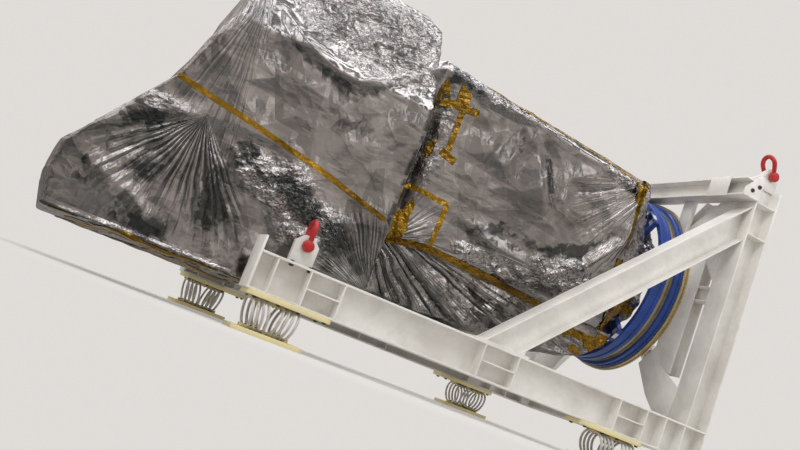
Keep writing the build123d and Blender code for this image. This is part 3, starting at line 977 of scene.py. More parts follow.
@dataclass
class FilmShell:
    """A film bag over one solid of the satellite: the solid's outside, folded and crumpled."""

    name: str
    node: str
    voxel: float
    flat: tuple[float, float]
    area: float
    held: str
    rests_on: tuple[str, ...]
    creases: tuple[Crease, ...] = ()
    fans: tuple[Fan, ...] = ()
    patches: tuple[Patch, ...] = ()
    # Bands of painted shade, then painted shade over the whole bag: dark reflections painted into the film's
    # colour.
    shades: tuple[Crease, ...] = ()
    painted_shade: float = 0.0
    fold_slope: float = 0.035
    fold_length: float = 0.70
    crumple_slope: float = 0.045
    crumple_size: float = 0.50
    fine_slope: float = 0.16
    everywhere: float = 0.03
    rounding: int = 4
    seed: int = 5

    def hidden(self, at: Vector, normal: Vector) -> bool:
        """Says whether a face lies against a neighbour, where the bag is open."""
        return False

    def tuck(self, at: Vector) -> Vector:
        """Says how far a point of the open rim runs on under the neighbour."""
        return Vector()

    def relief(self, points: np.ndarray, normals: np.ndarray) -> tuple[np.ndarray, np.ndarray]:
        """Works out how far each point stands out, and how crinkled it is.

        Args:
            points: The vertices.
            normals: Their normals.

        Returns:
            Heights in metres, and crinkle weights from 0 to 1.
        """
        chart = DATUM.chart(points)
        sides = smooth_step(np.abs(normals[:, 1]), 0.55, 0.8)
        height = long_folds(points, self.fold_length, self.fold_slope, 4, self.seed)
        height += crumple(points, self.crumple_size, self.crumple_slope, self.seed + 1)
        for fold in (*self.creases, *self.fans):
            height += fold.relief(chart) * sides
        crinkled = np.full(len(points), self.everywhere)
        for patch in self.patches:
            crinkled += patch.weight(chart)
        ragged = 0.75 + 0.6 * soft_noise(points, 0.13, self.seed + 3)
        crinkled = np.clip(crinkled * ragged, 0, 1)
        height += crumple(points, 0.16, self.fine_slope, self.seed + 2) * crinkled
        return height, crinkled

    def darkness(self, points: np.ndarray) -> np.ndarray:
        """Works out how much painted shade each point of the film gets: the dark that it would mirror under
        and between things, painted into its colour.

        Args:
            points: The vertices.

        Returns:
            Weights from 0 to 1.
        """
        chart = DATUM.chart(points)
        total = np.full(len(points), self.painted_shade)
        for band in self.shades:
            total += band.relief(chart)
        return np.clip(total, 0, 1)

    def build(self) -> Object:
        """Builds the bag.

        Returns:
            The piece.
        """
        shape = add_mesh(bmesh.new(), evaluated(mesh_of(node_copy(self.node), "rough"), self.voxel))
        relax(shape, shape.verts, self.rounding)
        opening = [f for f in shape.faces if self.hidden(f.calc_center_median(), f.normal)]
        bmesh.ops.delete(shape, geom=opening, context="FACES")
        points = np.array([v.co for v in shape.verts])
        normals = np.array([v.normal for v in shape.verts])
        height, crinkled = self.relief(points, normals)
        moved = points + normals * height[:, None]
        # The shade attribute carries the painted shade, which the foil's material mixes into its colour.
        for name in ("crinkle", "shade"):
            shape.verts.layers.float.new(name)
        crinkle, shade = (shape.verts.layers.float[name] for name in ("crinkle", "shade"))
        for vert, place, weight, dark in zip(shape.verts, moved, crinkled, self.darkness(points)):
            vert.co = place
            vert[crinkle] = weight
            vert[shade] = dark
        for vert in [v for v in shape.verts if v.is_boundary]:
            vert.co += self.tuck(vert.co)
        coat = Foil(self.name.replace("_", " ") + " foil", FILM_COLOUR, FILM_SHADE, fans=self.fans)
        return make_piece(shape, self.name, coat, Slot.FILM, smooth=180.0, stands_for=(self.node,))


# The film's folds, pleats, bands of painted shade and crinkled areas, as chart points

FORWARD_CREASES = (
    Crease(((-1.56, 0.60), (-1.15, 0.98), (-0.71, 1.13)), 0.022, 0.10),
    Crease(((-1.10, 1.02), (-0.71, 1.13), (-0.25, 1.16), (0.15, 1.10)), 0.014, 0.12),
    Crease(((-0.95, 1.62), (-0.10, 1.72), (0.55, 1.55)), 0.012, 0.16),
    Crease(((-0.62, 2.42), (-0.46, 2.21), (-0.235, 2.03), (0.08, 1.94), (0.32, 1.93), (0.50, 2.04),
            (0.98, 2.37)), 0.030, 0.085),
    Crease(((-0.78, 2.20), (-0.74, 1.50)), 0.018, 0.10),
    Crease(((-1.28, 0.64), (-0.86, 0.74)), -0.020, 0.10),
    Crease(((-1.33, 0.55), (-1.10, 0.20)), 0.016, 0.12),
    Crease(((-1.10, 0.42), (-0.70, 0.12)), 0.014, 0.10),
    Crease(((-0.40, 0.46), (-0.28, 0.10)), 0.014, 0.10),
    Crease(((0.10, 0.60), (0.55, 0.42)), 0.018, 0.12),
    Crease(((0.55, 1.45), (0.98, 1.95)), 0.012, 0.16),
    Crease(((0.62, 0.98), (0.98, 0.55)), -0.018, 0.10),
)
FORWARD_FANS = (
    Fan((-0.71, 1.13), 1.10, (208.0, 316.0), 19, 0.8, 0.80),
    Fan((-0.62, 2.30), 2.40, (250.0, 280.0), 9, 0.26, 0.40),
    Fan((1.10, 0.30), 0.85, (92.0, 175.0), 22, 0.8),
    Fan((-0.66, 2.60), 0.95, (228.0, 285.0), 10, 0.4),
)
# Bands of painted shade on the forward bag: dark reflections and shade painted into the film's colour.
FORWARD_SHADES = (
    Crease(((-1.54, 0.78), (-1.15, 0.90), (-0.86, 0.98)), 0.75, 0.17),
    Crease(((-1.44, 0.60), (-1.38, 0.22)), 0.65, 0.15),
    Crease(((-1.08, 0.66), (-0.86, 0.52)), 0.75, 0.18),
    Crease(((-1.20, 0.16), (-0.60, 0.14)), 0.55, 0.16),
    Crease(((-0.62, 1.06), (-0.15, 0.96), (0.30, 0.80), (0.62, 0.70)), 0.90, 0.20),
    Crease(((-0.50, 0.86), (-0.34, 0.34)), 0.70, 0.22),
    Crease(((-1.46, 0.40), (-0.90, 0.34), (-0.20, 0.30), (0.45, 0.42)), 0.34, 0.42),
    Crease(((0.50, 0.74), (1.00, 0.42)), 0.85, 0.24),
    Crease(((-0.55, 2.12), (-0.20, 1.90), (0.35, 1.80), (0.90, 2.20)), 0.50, 0.12),
    Crease(((1.02, 0.60), (1.03, 2.35)), 0.60, 0.07),
    Crease(((-0.10, 0.12), (0.80, 0.22)), 0.60, 0.14),
    Crease(((0.10, 1.50), (0.70, 1.62)), 0.40, 0.22),
)
# Bands of painted shade on the bus's film, darkest in the recess behind the forward bag.
BUS_SHADES = (
    Crease(((1.09, 0.86), (1.13, 1.60), (1.14, 2.50)), 1.3, 0.11),
    Crease(((1.10, 2.47), (1.55, 2.42)), 0.9, 0.13),
    Crease(((1.56, 1.06), (2.10, 1.36), (2.70, 1.33), (3.18, 1.60)), 0.85, 0.10),
    Crease(((2.20, 2.42), (2.42, 2.02), (2.56, 1.68)), 0.8, 0.07),
    Crease(((1.98, 2.34), (2.04, 2.04)), 0.8, 0.06),
    Crease(((2.60, 1.36), (3.00, 1.50), (3.36, 1.86)), 0.8, 0.09),
    Crease(((2.20, 0.98), (3.30, 1.10)), 0.6, 0.10),
    Crease(((3.40, 1.10), (3.46, 2.00)), 0.5, 0.08),
    Crease(((1.20, 0.88), (3.30, 0.92)), 0.35, 0.08),
)
FORWARD_PATCHES = (
    Patch((-0.02, 0.90), (0.46, 0.24), 0.60),
    Patch((0.40, 0.66), (0.42, 0.26), 0.45),
    Patch((-1.05, 1.06), (0.26, 0.10), 0.65),
    Patch((0.45, 2.52), (0.95, 0.52), 1.0),
    Patch((-0.60, 0.04), (1.10, 0.06), 0.4),
)
BUS_CREASES = (
    Crease(((1.15, 2.45), (1.13, 0.88)), -0.075, 0.10),
    Crease(((1.85, 1.75), (2.17, 2.40)), 0.022, 0.14),
    Crease(((2.22, 2.38), (2.44, 2.00), (2.60, 1.62)), -0.022, 0.12),
    Crease(((2.65, 2.30), (2.55, 1.40)), 0.016, 0.14),
    Crease(((1.62, 1.36), (2.07, 1.17), (2.68, 1.13), (3.10, 1.38), (3.37, 1.70), (3.46, 2.20)), 0.034, 0.11),
)
BUS_FANS = (
    Fan((3.62, 2.45), 1.2, (196.0, 262.0), 7, 0.34, 0.36),
    Fan((1.10, 0.84), 0.6, (10.0, 80.0), 9, 0.5),
)
BUS_PATCHES = (
    Patch((2.98, 1.20), (0.55, 0.20), 0.9),
    Patch((2.20, 1.02), (0.60, 0.12), 0.6),
    Patch((1.20, 1.90), (0.22, 0.70), 0.25),
    Patch((1.70, 2.46), (0.60, 0.16), 0.5),
    Patch((3.35, 2.34), (0.40, 0.12), 0.8),
)
BELLY_FANS = (Fan((0.80, 1.05), 3.2, (297.0, 354.0), 8, 0.75, 0.66),)


@dataclass
class ForwardBag(FilmShell):
    """The wide forward bag, open where the bus leaves it."""

    bus_half: float = 0.82

    def hidden(self, at: Vector, normal: Vector) -> bool:
        """Opens the bag's aft face inside the bus's outline.

        Args:
            at: The face's centre.
            normal: Its normal, which is not used.

        Returns:
            True where the bag is open.
        """
        low, high = node_box("satellite_bus")
        inside = abs(at.y) < self.bus_half and low.z + 0.10 < at.z < high.z - 0.28
        return inside and at.x > low.x - 0.02


@dataclass
class TubeBag(FilmShell):
    """A bag that is a tube along the satellite's axis, open at both ends."""

    overlap: float = 0.02
    reach: float = 0.22
    drawn: float = 0.15

    def hidden(self, at: Vector, normal: Vector) -> bool:
        """Opens both ends."""
        low, high = node_box(self.node)
        return abs(normal.x) > 0.8 and not low.x + 0.03 <= at.x <= high.x - 0.03

    def tuck(self, at: Vector) -> Vector:
        """Runs each open end on under its neighbour, and draws the front one in.

        Args:
            at: A point of the rim.

        Returns:
            How far the point moves.
        """
        low, high = node_box(self.node)
        centre = (low + high) / 2
        if at.x > centre.x:
            return Vector((self.overlap, 0, 0))
        return Vector((-self.reach, -at.y * self.drawn, (centre.z - at.z) * self.drawn))


@dataclass
class NeckBag(FilmShell):
    """The bag's narrow aft end: open to the bus, closed inside the ring."""

    def hidden(self, at: Vector, normal: Vector) -> bool:
        """Opens the end that meets the bus."""
        return normal.x < -0.8 and at.x < node_box(self.node)[0].x + 0.03

    def tuck(self, at: Vector) -> Vector:
        """Runs its open end on under the bus's film."""
        return Vector((-0.03, 0, 0))


@dataclass
class SkirtBag(FilmShell):
    """Loose film that sags below the bus, open above."""

    def hidden(self, at: Vector, normal: Vector) -> bool:
        """Opens its top and the end that meets the forward bag."""
        low, high = node_box(self.node)
        return at.z > high.z - 0.03 or at.x < low.x + 0.02

    def tuck(self, at: Vector) -> Vector:
        """Runs its open rim on up inside the bus's film."""
        return Vector((0, 0, 0.06))


# Tape


@dataclass
class TapeRun:
    """A run of tape on both sides of the satellite, laid on whatever film is there."""

    name: str
    route: tuple[ChartPoint, ...]
    width: float = 0.05
    crinkle: float = 0.25
    reach: float = 2.0
    cell: float = 0.018
    lift: float = 0.0022
    start_out: float = 2.2
    torn: float = 0.16

    def on_film(self, skins: list[BVHTree], sign: int, chart: Vector) -> Vector | None:
        """Finds the outermost film at a chart point.

        Args:
            skins: The film's surfaces.
            sign: The side that is looked from.
            chart: The chart point.

        Returns:
            A point just off the film, or nothing where there is no film in reach.
        """
        origin = DATUM.place(chart.x, sign * self.start_out, chart.y)
        hits = [skin.ray_cast(origin, Vector((0, -sign, 0))) for skin in skins]
        hits = [hit for hit in hits if hit[0] is not None and hit[3] < self.reach]
        if not hits:
            return None
        return min(hits, key=lambda hit: hit[3])[0] + Vector((0, sign * self.lift, 0))

    def lay(self, shape: BMesh, skins: list[BVHTree], sign: int, start: Vector, end: Vector) -> None:
        """Lays one straight strip.

        Args:
            shape: The shape that gets it.
            skins: The film's surfaces.
            sign: The side that it is on.
            start: Chart point where it starts.
            end: Chart point where it ends.
        """
        crinkle = shape.verts.layers.float["crinkle"]
        run = end - start
        steps = max(4, int(run.length / self.cell))
        across = Vector((-run.y, run.x)).normalized() * self.width / 2
        lost = []
        for vert in bmesh.ops.create_grid(shape, x_segments=steps, y_segments=4, size=0.5)["verts"]:
            chart = start + run * (vert.co.x + 0.5) + across * (2 * vert.co.y)
            spot = self.on_film(skins, sign, chart)
            vert[crinkle] = self.crinkle
            if spot is None:
                lost.append(vert)
            else:
                vert.co = spot
        bmesh.ops.delete(shape, geom=lost, context="VERTS")
        stretched = [f for f in shape.faces if max(e.calc_length() for e in f.edges) > self.torn]
        bmesh.ops.delete(shape, geom=stretched, context="FACES")
        for face in shape.faces:
            if face.normal.y * face.calc_center_median().y < 0:
                face.normal_flip()

    def build(self, skins: list[BVHTree]) -> Object:
        """Lays the tape.

        Args:
            skins: The film's surfaces.

        Returns:
            The piece.
        """
        shape = bmesh.new()
        shape.verts.layers.float.new("crinkle")
        for sign, (start, end) in product(SIDES.values(), zip(self.route, self.route[1:])):
            self.lay(shape, skins, sign, Vector(start), Vector(end))
        return make_piece(shape, self.name, AMBER, Slot.FILM, smooth=180.0)


@dataclass(frozen=True)
class Wrap:
    """Crumpled amber film stuck over a bag in ragged patches."""

    name: str
    host: str
    areas: tuple[Patch, ...]
    raggedness: float = 0.55
    grain: tuple[float, float, float] = (0.10, 0.30, 0.22)
    lift: float = 0.005
    seed: int = 3

    def build(self, host: Object) -> Object:
        """Cuts the patches from the bag's own surface and lifts them off it.

        Args:
            host: The bag.

        Returns:
            The piece.
        """
        shape = bmesh.new()
        shape.from_mesh(host.data)
        centres = np.array([f.calc_center_median() for f in shape.faces])
        chart = DATUM.chart(centres)
        kept = sum(area.weight(chart) for area in self.areas)
        streaks = soft_noise(centres / np.array(self.grain), 1.0, self.seed)
        kept = np.where(kept > 0.12, kept + self.raggedness * streaks, 0)
        lost = [face for face, value in zip(shape.faces, kept) if value < 0.5]
        bmesh.ops.delete(shape, geom=lost, context="FACES")
        relax(shape, [v for v in shape.verts if v.is_boundary], 2)
        crinkle, shade = (shape.verts.layers.float[name] for name in ("crinkle", "shade"))
        # Amber patches take the crinkle, and keep part of the bag's painted shade.
        for vert in shape.verts:
            vert.co += vert.normal * self.lift
            vert[crinkle] = 0.9
            vert[shade] *= 0.6
        return make_piece(shape, self.name, AMBER, Slot.FILM, smooth=180.0)


WRAPS = (
    Wrap("wrap_neck", "film_aft", (
        Patch((3.75, 0.85), (0.55, 0.55), 0.75), Patch((3.60, 2.30), (0.30, 0.25), 0.6),
        Patch((3.70, 1.55), (0.30, 0.50), 0.3),
    ), raggedness=0.8, grain=(0.16, 0.10, 0.12), seed=3),
    Wrap("wrap_belly", "film_belly", (Patch((3.50, 0.70), (0.60, 0.30), 0.7),),
         raggedness=0.8, grain=(0.14, 0.25, 0.07), seed=5),
    Wrap("wrap_bus_end", "film_bus", (
        Patch((3.46, 2.25), (0.14, 0.24), 0.7), Patch((3.46, 1.55), (0.10, 0.55), 0.45),
    ), raggedness=0.8, grain=(0.05, 0.3, 0.12), seed=8),
    Wrap("wrap_recess", "film_bus", (
        Patch((1.14, 1.50), (0.16, 0.95), 0.50), Patch((1.22, 2.25), (0.30, 0.20), 0.5),
        Patch((1.12, 0.95), (0.22, 0.20), 0.7),
    ), raggedness=0.9, grain=(0.05, 0.3, 0.14), seed=12),
    Wrap("wrap_hem", "film_forward", (Patch((-0.55, 0.030), (1.35, 0.040), 0.8),),
         grain=(0.25, 0.5, 0.05), raggedness=0.7, seed=15),
)

TAPES = (
    TapeRun("tape_forward", ((-1.045, 1.335), (0.27, 1.12), (0.98, 0.955)), 0.048),
    TapeRun("tape_bus_long", ((1.07, 0.84), (1.50, 0.92), (2.16, 0.90), (2.95, 0.86)), 0.056, crinkle=0.5),
    TapeRun("tape_bus_frame", ((1.10, 0.86), (1.09, 1.36), (1.54, 1.34), (1.52, 0.90)), 0.050, crinkle=0.5),
    TapeRun("tape_bus_upper", ((1.07, 2.17), (1.30, 2.20), (1.52, 2.22)), 0.075, crinkle=0.9),
    TapeRun("tape_bus_upright", ((1.36, 2.16), (1.36, 1.72)), 0.055, crinkle=0.7),
    TapeRun("tape_bus_corner", ((1.30, 1.76), (1.46, 1.72)), 0.070, crinkle=0.9),
    TapeRun("tape_bus_top", ((1.52, 2.52), (2.40, 2.46), (3.46, 2.38)), 0.030, crinkle=0.4, reach=1.40),
    TapeRun("tape_bus_end", ((3.44, 2.36), (3.455, 1.70)), 0.040, crinkle=0.8),
)


# Steel frame


@dataclass
class SteelWork:
    """The welded frame: each member with rounded edges, and weld beads where plates meet."""

    edge: float = 0.0028
    bead: float = 0.0050
    bead_step: float = 0.020
    shortest: float = 0.04
    longest: float = 0.32
    members: tuple[str, ...] = (
        "base_beam_", "column_", "strut_", "brace_", "front_cross", "rear_cross", "back_cross",
        "top_cross", "ring_arm_", "ring_hanger_", "lug_",
    )

    def beads(self, shape: BMesh) -> list[list[Vector]]:
        """Finds the inside corners of a member, which are where it is welded.

        Args:
            shape: The member, before its edges are rounded.

        Returns:
            The points of each bead.
        """
        lines = []
        for edge in shape.edges:
            length = edge.calc_length()
            corner = len(edge.link_faces) == 2 and edge.calc_face_angle(0.0) >= radians(60)
            if not corner or edge.is_convex or not self.shortest < length < self.longest:
                continue
            steps = max(2, int(length / self.bead_step))
            a, b = (v.co.copy() for v in edge.verts)
            lines.append([a.lerp(b, step / steps) for step in range(steps + 1)])
        return lines

    def build(self) -> None:
        """Dresses every member."""
        rng = np.random.default_rng(11)
        beads, radii = [], []
        for node in sorted(n for n in frame["nodes"] if n.startswith(self.members)):
            shape = node_copy(node)
            for line in self.beads(shape):
                beads.append(line)
                radii.append(list(rng.uniform(0.8, 1.15, len(line))))
            bevel_sharp(shape, self.edge)
            coat = WHITE if node.startswith("lug_") else GREY
            make_piece(shape, "steel_" + node, coat, Slot.GREY, stands_for=(node,))
        welds = add_mesh(bmesh.new(), tube_mesh(beads, self.bead, 0, radii=radii))
        make_piece(welds, "weld_beads", GREY, Slot.GREY, smooth=60.0)


@dataclass
class FrameBolts:
    """Bolts that show on the steel frame: at the lugs' feet and on the top beam's end plates."""

    lug_along: tuple[float, ...] = (0.257, 0.414)
    lug_offset: float = 0.055
    plate_spots: tuple[ChartPoint, ...] = ((4.150, 2.590), (4.220, 2.650))
    beam_depth: float = 0.305
    flange: float = 0.016
    size: float = 0.022

    def build(self) -> None:
        """Adds the bolts."""
        shape = bmesh.new()
        up, down = Vector((0, 0, 1)), Vector((0, 0, -1))
        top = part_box("base_beam_near")[0].z + self.beam_depth - DATUM.skid
        low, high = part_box("top_cross_beam")
        for sign, along, offset in product(SIDES.values(), self.lug_along, (-1, 1)):
            seat = DATUM.place(along, sign * DATUM.side + offset * self.lug_offset, top)
            add_bolt(shape, seat, up, self.size * 0.8)
            add_bolt(shape, seat + down * self.flange, down, self.size)
        for sign, (along, height) in product(SIDES.values(), self.plate_spots):
            seat = DATUM.place(along, low.y if sign < 0 else high.y, height)
            add_bolt(shape, seat, Vector((0, sign, 0)), self.size * 0.9)
        make_piece(shape, "lug_bolts", DARK, Slot.GREY)


# Wire-rope isolators


@dataclass
class Isolator:
    """One wire-rope isolator: stranded coils, and clamp bars with screws."""

    end: str
    side: str
    coils: tuple[float, ...] = (0.030, 0.073, 0.116, 0.159, 0.251, 0.294, 0.337, 0.380)
    strands: int = 6
    strand_radius: float = 0.0044
    lay_radius: float = 0.0078
    pitch: float = 0.10
    steps: int = 60
    straight_half: float = 0.045
    lean: float = 10.0
    bar_height: float = 0.026
    bar_half_width: float = 0.022
    bar_edge: float = 0.003
    screw_radius: float = 0.0085
    screw_height: float = 0.007

    def __post_init__(self) -> None:
        """Reads where the isolator stands: it is counted from the frame's end inwards."""
        self.name = f"{self.end}_{self.side}"
        self.node = f"isolator_coils_{self.name}"
        self.low, self.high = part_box(self.node)
        self.y = SIDES[self.side] * DATUM.side
        self.way = 1 if self.end == "front" else -1
        self.start = self.low.x if self.way > 0 else self.high.x

    def walk(self, share: float, half_gap: float) -> tuple[Vector, Vector]:
        """Walks round a coil's racetrack.

        Args:
            share: How far round it, as a share of one turn.
            half_gap: Half the coil's height in its own plane.

        Returns:
            The centre line's place and the outward way there, in the coil's own plane.
        """
        straight, arc = 2 * self.straight_half, pi * half_gap
        walked = share * 2 * (straight + arc)
        back = walked >= straight + arc
        if back:
            walked -= straight + arc
        if walked < straight:
            spot, out = Vector((walked - self.straight_half, -half_gap)), Vector((0, -1))
        else:
            angle = (walked - straight) / half_gap - pi / 2
            out = Vector((cos(angle), sin(angle)))
            spot = Vector((self.straight_half, 0)) + out * half_gap
        return (-spot, -out) if back else (spot, out)

    def build(self) -> None:
        """Builds the isolator's rope and its clamp bars."""
        bottom, top = self.low.z + self.bar_height / 2, self.high.z - self.bar_height / 2
        half_gap = (top - bottom) / 2 / cos(radians(self.lean))
        twists = round((4 * self.straight_half + 2 * pi * half_gap) / self.pitch)
        lines = []
        for index, place in enumerate(self.coils):
            lean = radians(self.lean if index < len(self.coils) / 2 else -self.lean) * self.way
            up, across = Vector((-sin(lean), 0, cos(lean))), Vector((cos(lean), 0, sin(lean)))
            centre = Vector((self.start + self.way * place, self.y, (bottom + top) / 2))
            for strand in range(self.strands):
                line = []
                for step in range(self.steps):
                    share = step / self.steps
                    spot, out = self.walk(share, half_gap)
                    angle = 2 * pi * (share * twists + strand / self.strands)
                    around = Vector((0, out.x, 0)) + up * out.y
                    base = centre + Vector((0, spot.x, 0)) + up * spot.y
                    line.append(base + (around * cos(angle) + across * sin(angle)) * self.lay_radius)
                lines.append(line)
        rope = add_mesh(bmesh.new(), tube_mesh(lines, self.strand_radius, 1, closed=True))
        make_piece(rope, f"wire_rope_{self.name}", ROPE, Slot.ROPE, smooth=60.0, stands_for=(self.node,))
        self.build_bars()

    def build_bars(self) -> None:
        """Builds the two clamp bars, with a screw between each two coils."""
        bars, screws = bmesh.new(), bmesh.new()
        for z in (self.low.z, self.high.z - self.bar_height):
            low = (self.low.x, self.y - self.bar_half_width, z)
            add_box(bars, low, (self.high.x, self.y + self.bar_half_width, z + self.bar_height))
        bevel_sharp(bars, self.bar_edge)
        make_piece(bars, f"clamp_bars_{self.name}", BAR_PLATE, Slot.ROPE)
        for left, right in zip(self.coils, self.coils[1:]):
            x = self.start + self.way * (left + right) / 2
            for z, up in ((self.low.z + self.bar_height, 1), (self.high.z - self.bar_height, -1)):
                at = Vector((x, self.y, z))
                add_disc(screws, at, Vector((0, 0, up)), self.screw_radius, self.screw_height, 12)
        make_piece(screws, f"clamp_screws_{self.name}", DARK, Slot.ROPE)


@dataclass
class IsolatorPlates:
    """The deck and sole plates, with rounded edges and the bolts of the deck plates."""

    edge: float = 0.003
    bolt: float = 0.018
    bolt_shares: tuple[float, ...] = (0.10, 0.38, 0.62, 0.93)
    bolt_offset: float = 0.105

    def build(self) -> None:
        """Dresses every plate."""
        for node in sorted(n for n in frame["nodes"] if n.startswith(("isolator_deck", "isolator_sole"))):
            shape = node_copy(node)
            bevel_sharp(shape, self.edge)
            make_piece(shape, "plate_" + node, CHROMATE, Slot.CHROMATE, stands_for=(node,))
        bolts = bmesh.new()
        for end, side in product(ENDS, SIDES):
            low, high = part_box(f"isolator_deck_{end}_{side}")
            for share, offset in product(self.bolt_shares, (-self.bolt_offset, self.bolt_offset)):
                at = Vector((low.x + (high.x - low.x) * share, SIDES[side] * DATUM.side + offset, low.z))
                add_bolt(bolts, at, Vector((0, 0, -1)), self.bolt)
        make_piece(bolts, "deck_bolts", DARK, Slot.CHROMATE)


# Shackles


@dataclass
class Shackle:
    """A bow shackle: forged bow with two eyes, and a pin with a round head and a hexagon nut."""

    place: str
    side: str
    lean: float
    pin_up: float
    pin_along: float
    jaw: float = 0.066
    ear: float = 0.040
    ear_radius: float = 0.048
    ear_edge: float = 0.006
    bar: float = 0.0205
    bow_radius: float = 0.076
    bow_centre: float = 0.127
    bow_steps: int = 22
    swell: float = 0.10
    swell_reach: float = 0.2
    pin_radius: float = 0.023
    head_radius: float = 0.045
    head_height: float = 0.011
    nut_radius: float = 0.038
    nut_height: float = 0.026
    dome_height: float = 0.005
    dome_top: float = 0.038
    face_radius: float = 0.033
    face_height: float = 0.004
    face_top: float = 0.028
    pin_edge: float = 0.0012

    def build(self) -> None:
        """Builds the bow and the pin."""
        name, lean = f"{self.place}_{self.side}", radians(self.lean)
        pin = DATUM.place(self.pin_along, SIDES[self.side] * DATUM.side, self.pin_up)
        up, across = Vector((-sin(lean), 0, cos(lean))), Vector((0, 1, 0))
        bow, bolt = self.bow(pin, across, up), self.pin(pin, across)
        for part, shape in (("bow", bow), ("pin", bolt)):
            make_piece(shape, f"{part}_{name}", RED, Slot.RED, f"shackle_{name}", 50.0,
                       (f"shackle_{part}_{name}",))

    def bow(self, pin: Vector, across: Vector, up: Vector) -> BMesh:
        """Makes the bow: two legs that touch its crown's arc, a little thicker at the top, and two eyes.

        Args:
            pin: The pin's centre.
            across: The way along the pin.
            up: The way up the bow.

        Returns:
            The bow's shape.
        """
        leg = (self.jaw + self.ear) / 2
        reach = hypot(leg, self.bow_centre)
        start = atan2(self.bow_centre, -leg) - asin(self.bow_radius / reach) - pi / 2
        turns = [start + (pi - 2 * start) * step / self.bow_steps for step in range(self.bow_steps + 1)]
        crown = [(self.bow_radius * cos(t), self.bow_centre + self.bow_radius * sin(t)) for t in turns]
        foot = [(leg, 0.0), (leg + (crown[0][0] - leg) * 0.5, crown[0][1] * 0.5)]
        route = [*foot, *crown, *[(-x, z) for x, z in reversed(foot)]]
        line = [pin + across * x + up * z for x, z in route]
        factors = [1.0 + self.swell * max(0.0, z / self.swell_reach) for _, z in route]
        shape = add_mesh(bmesh.new(), tube_mesh([line], self.bar, 4, radii=[factors]))
        for way in (-1, 1):
            eye = bmesh.new()
            add_disc(eye, pin + across * way * self.jaw / 2, across * way, self.ear_radius, self.ear, 40)
            bevel_sharp(eye, self.ear_edge, 3, 40.0)
            add_mesh(shape, mesh_of(eye, "eye"))
        return shape

    def pin(self, pin: Vector, across: Vector) -> BMesh:
        """Makes the pin, its domed head and its nut.

        Args:
            pin: The pin's centre.
            across: The way along the pin.

        Returns:
            The pin's shape.
        """
        half = self.jaw / 2 + self.ear
        head, nut = pin - across * half, pin + across * half
        shape = bmesh.new()
        add_disc(shape, head, across, self.pin_radius, 2 * half, 28)
        add_disc(shape, head, -across, self.head_radius, self.head_height, 36)
        dome = pin - across * (half + self.head_height)
        add_disc(shape, dome, -across, self.head_radius, self.dome_height, 36, self.dome_top)
        add_disc(shape, nut, across, self.nut_radius, self.nut_height, 6)
        face = pin + across * (half + self.nut_height)
        add_disc(shape, face, across, self.face_radius, self.face_height, 24, self.face_top)
        bevel_sharp(shape, self.pin_edge, 2, 50.0)
        return shape


# Ring stack


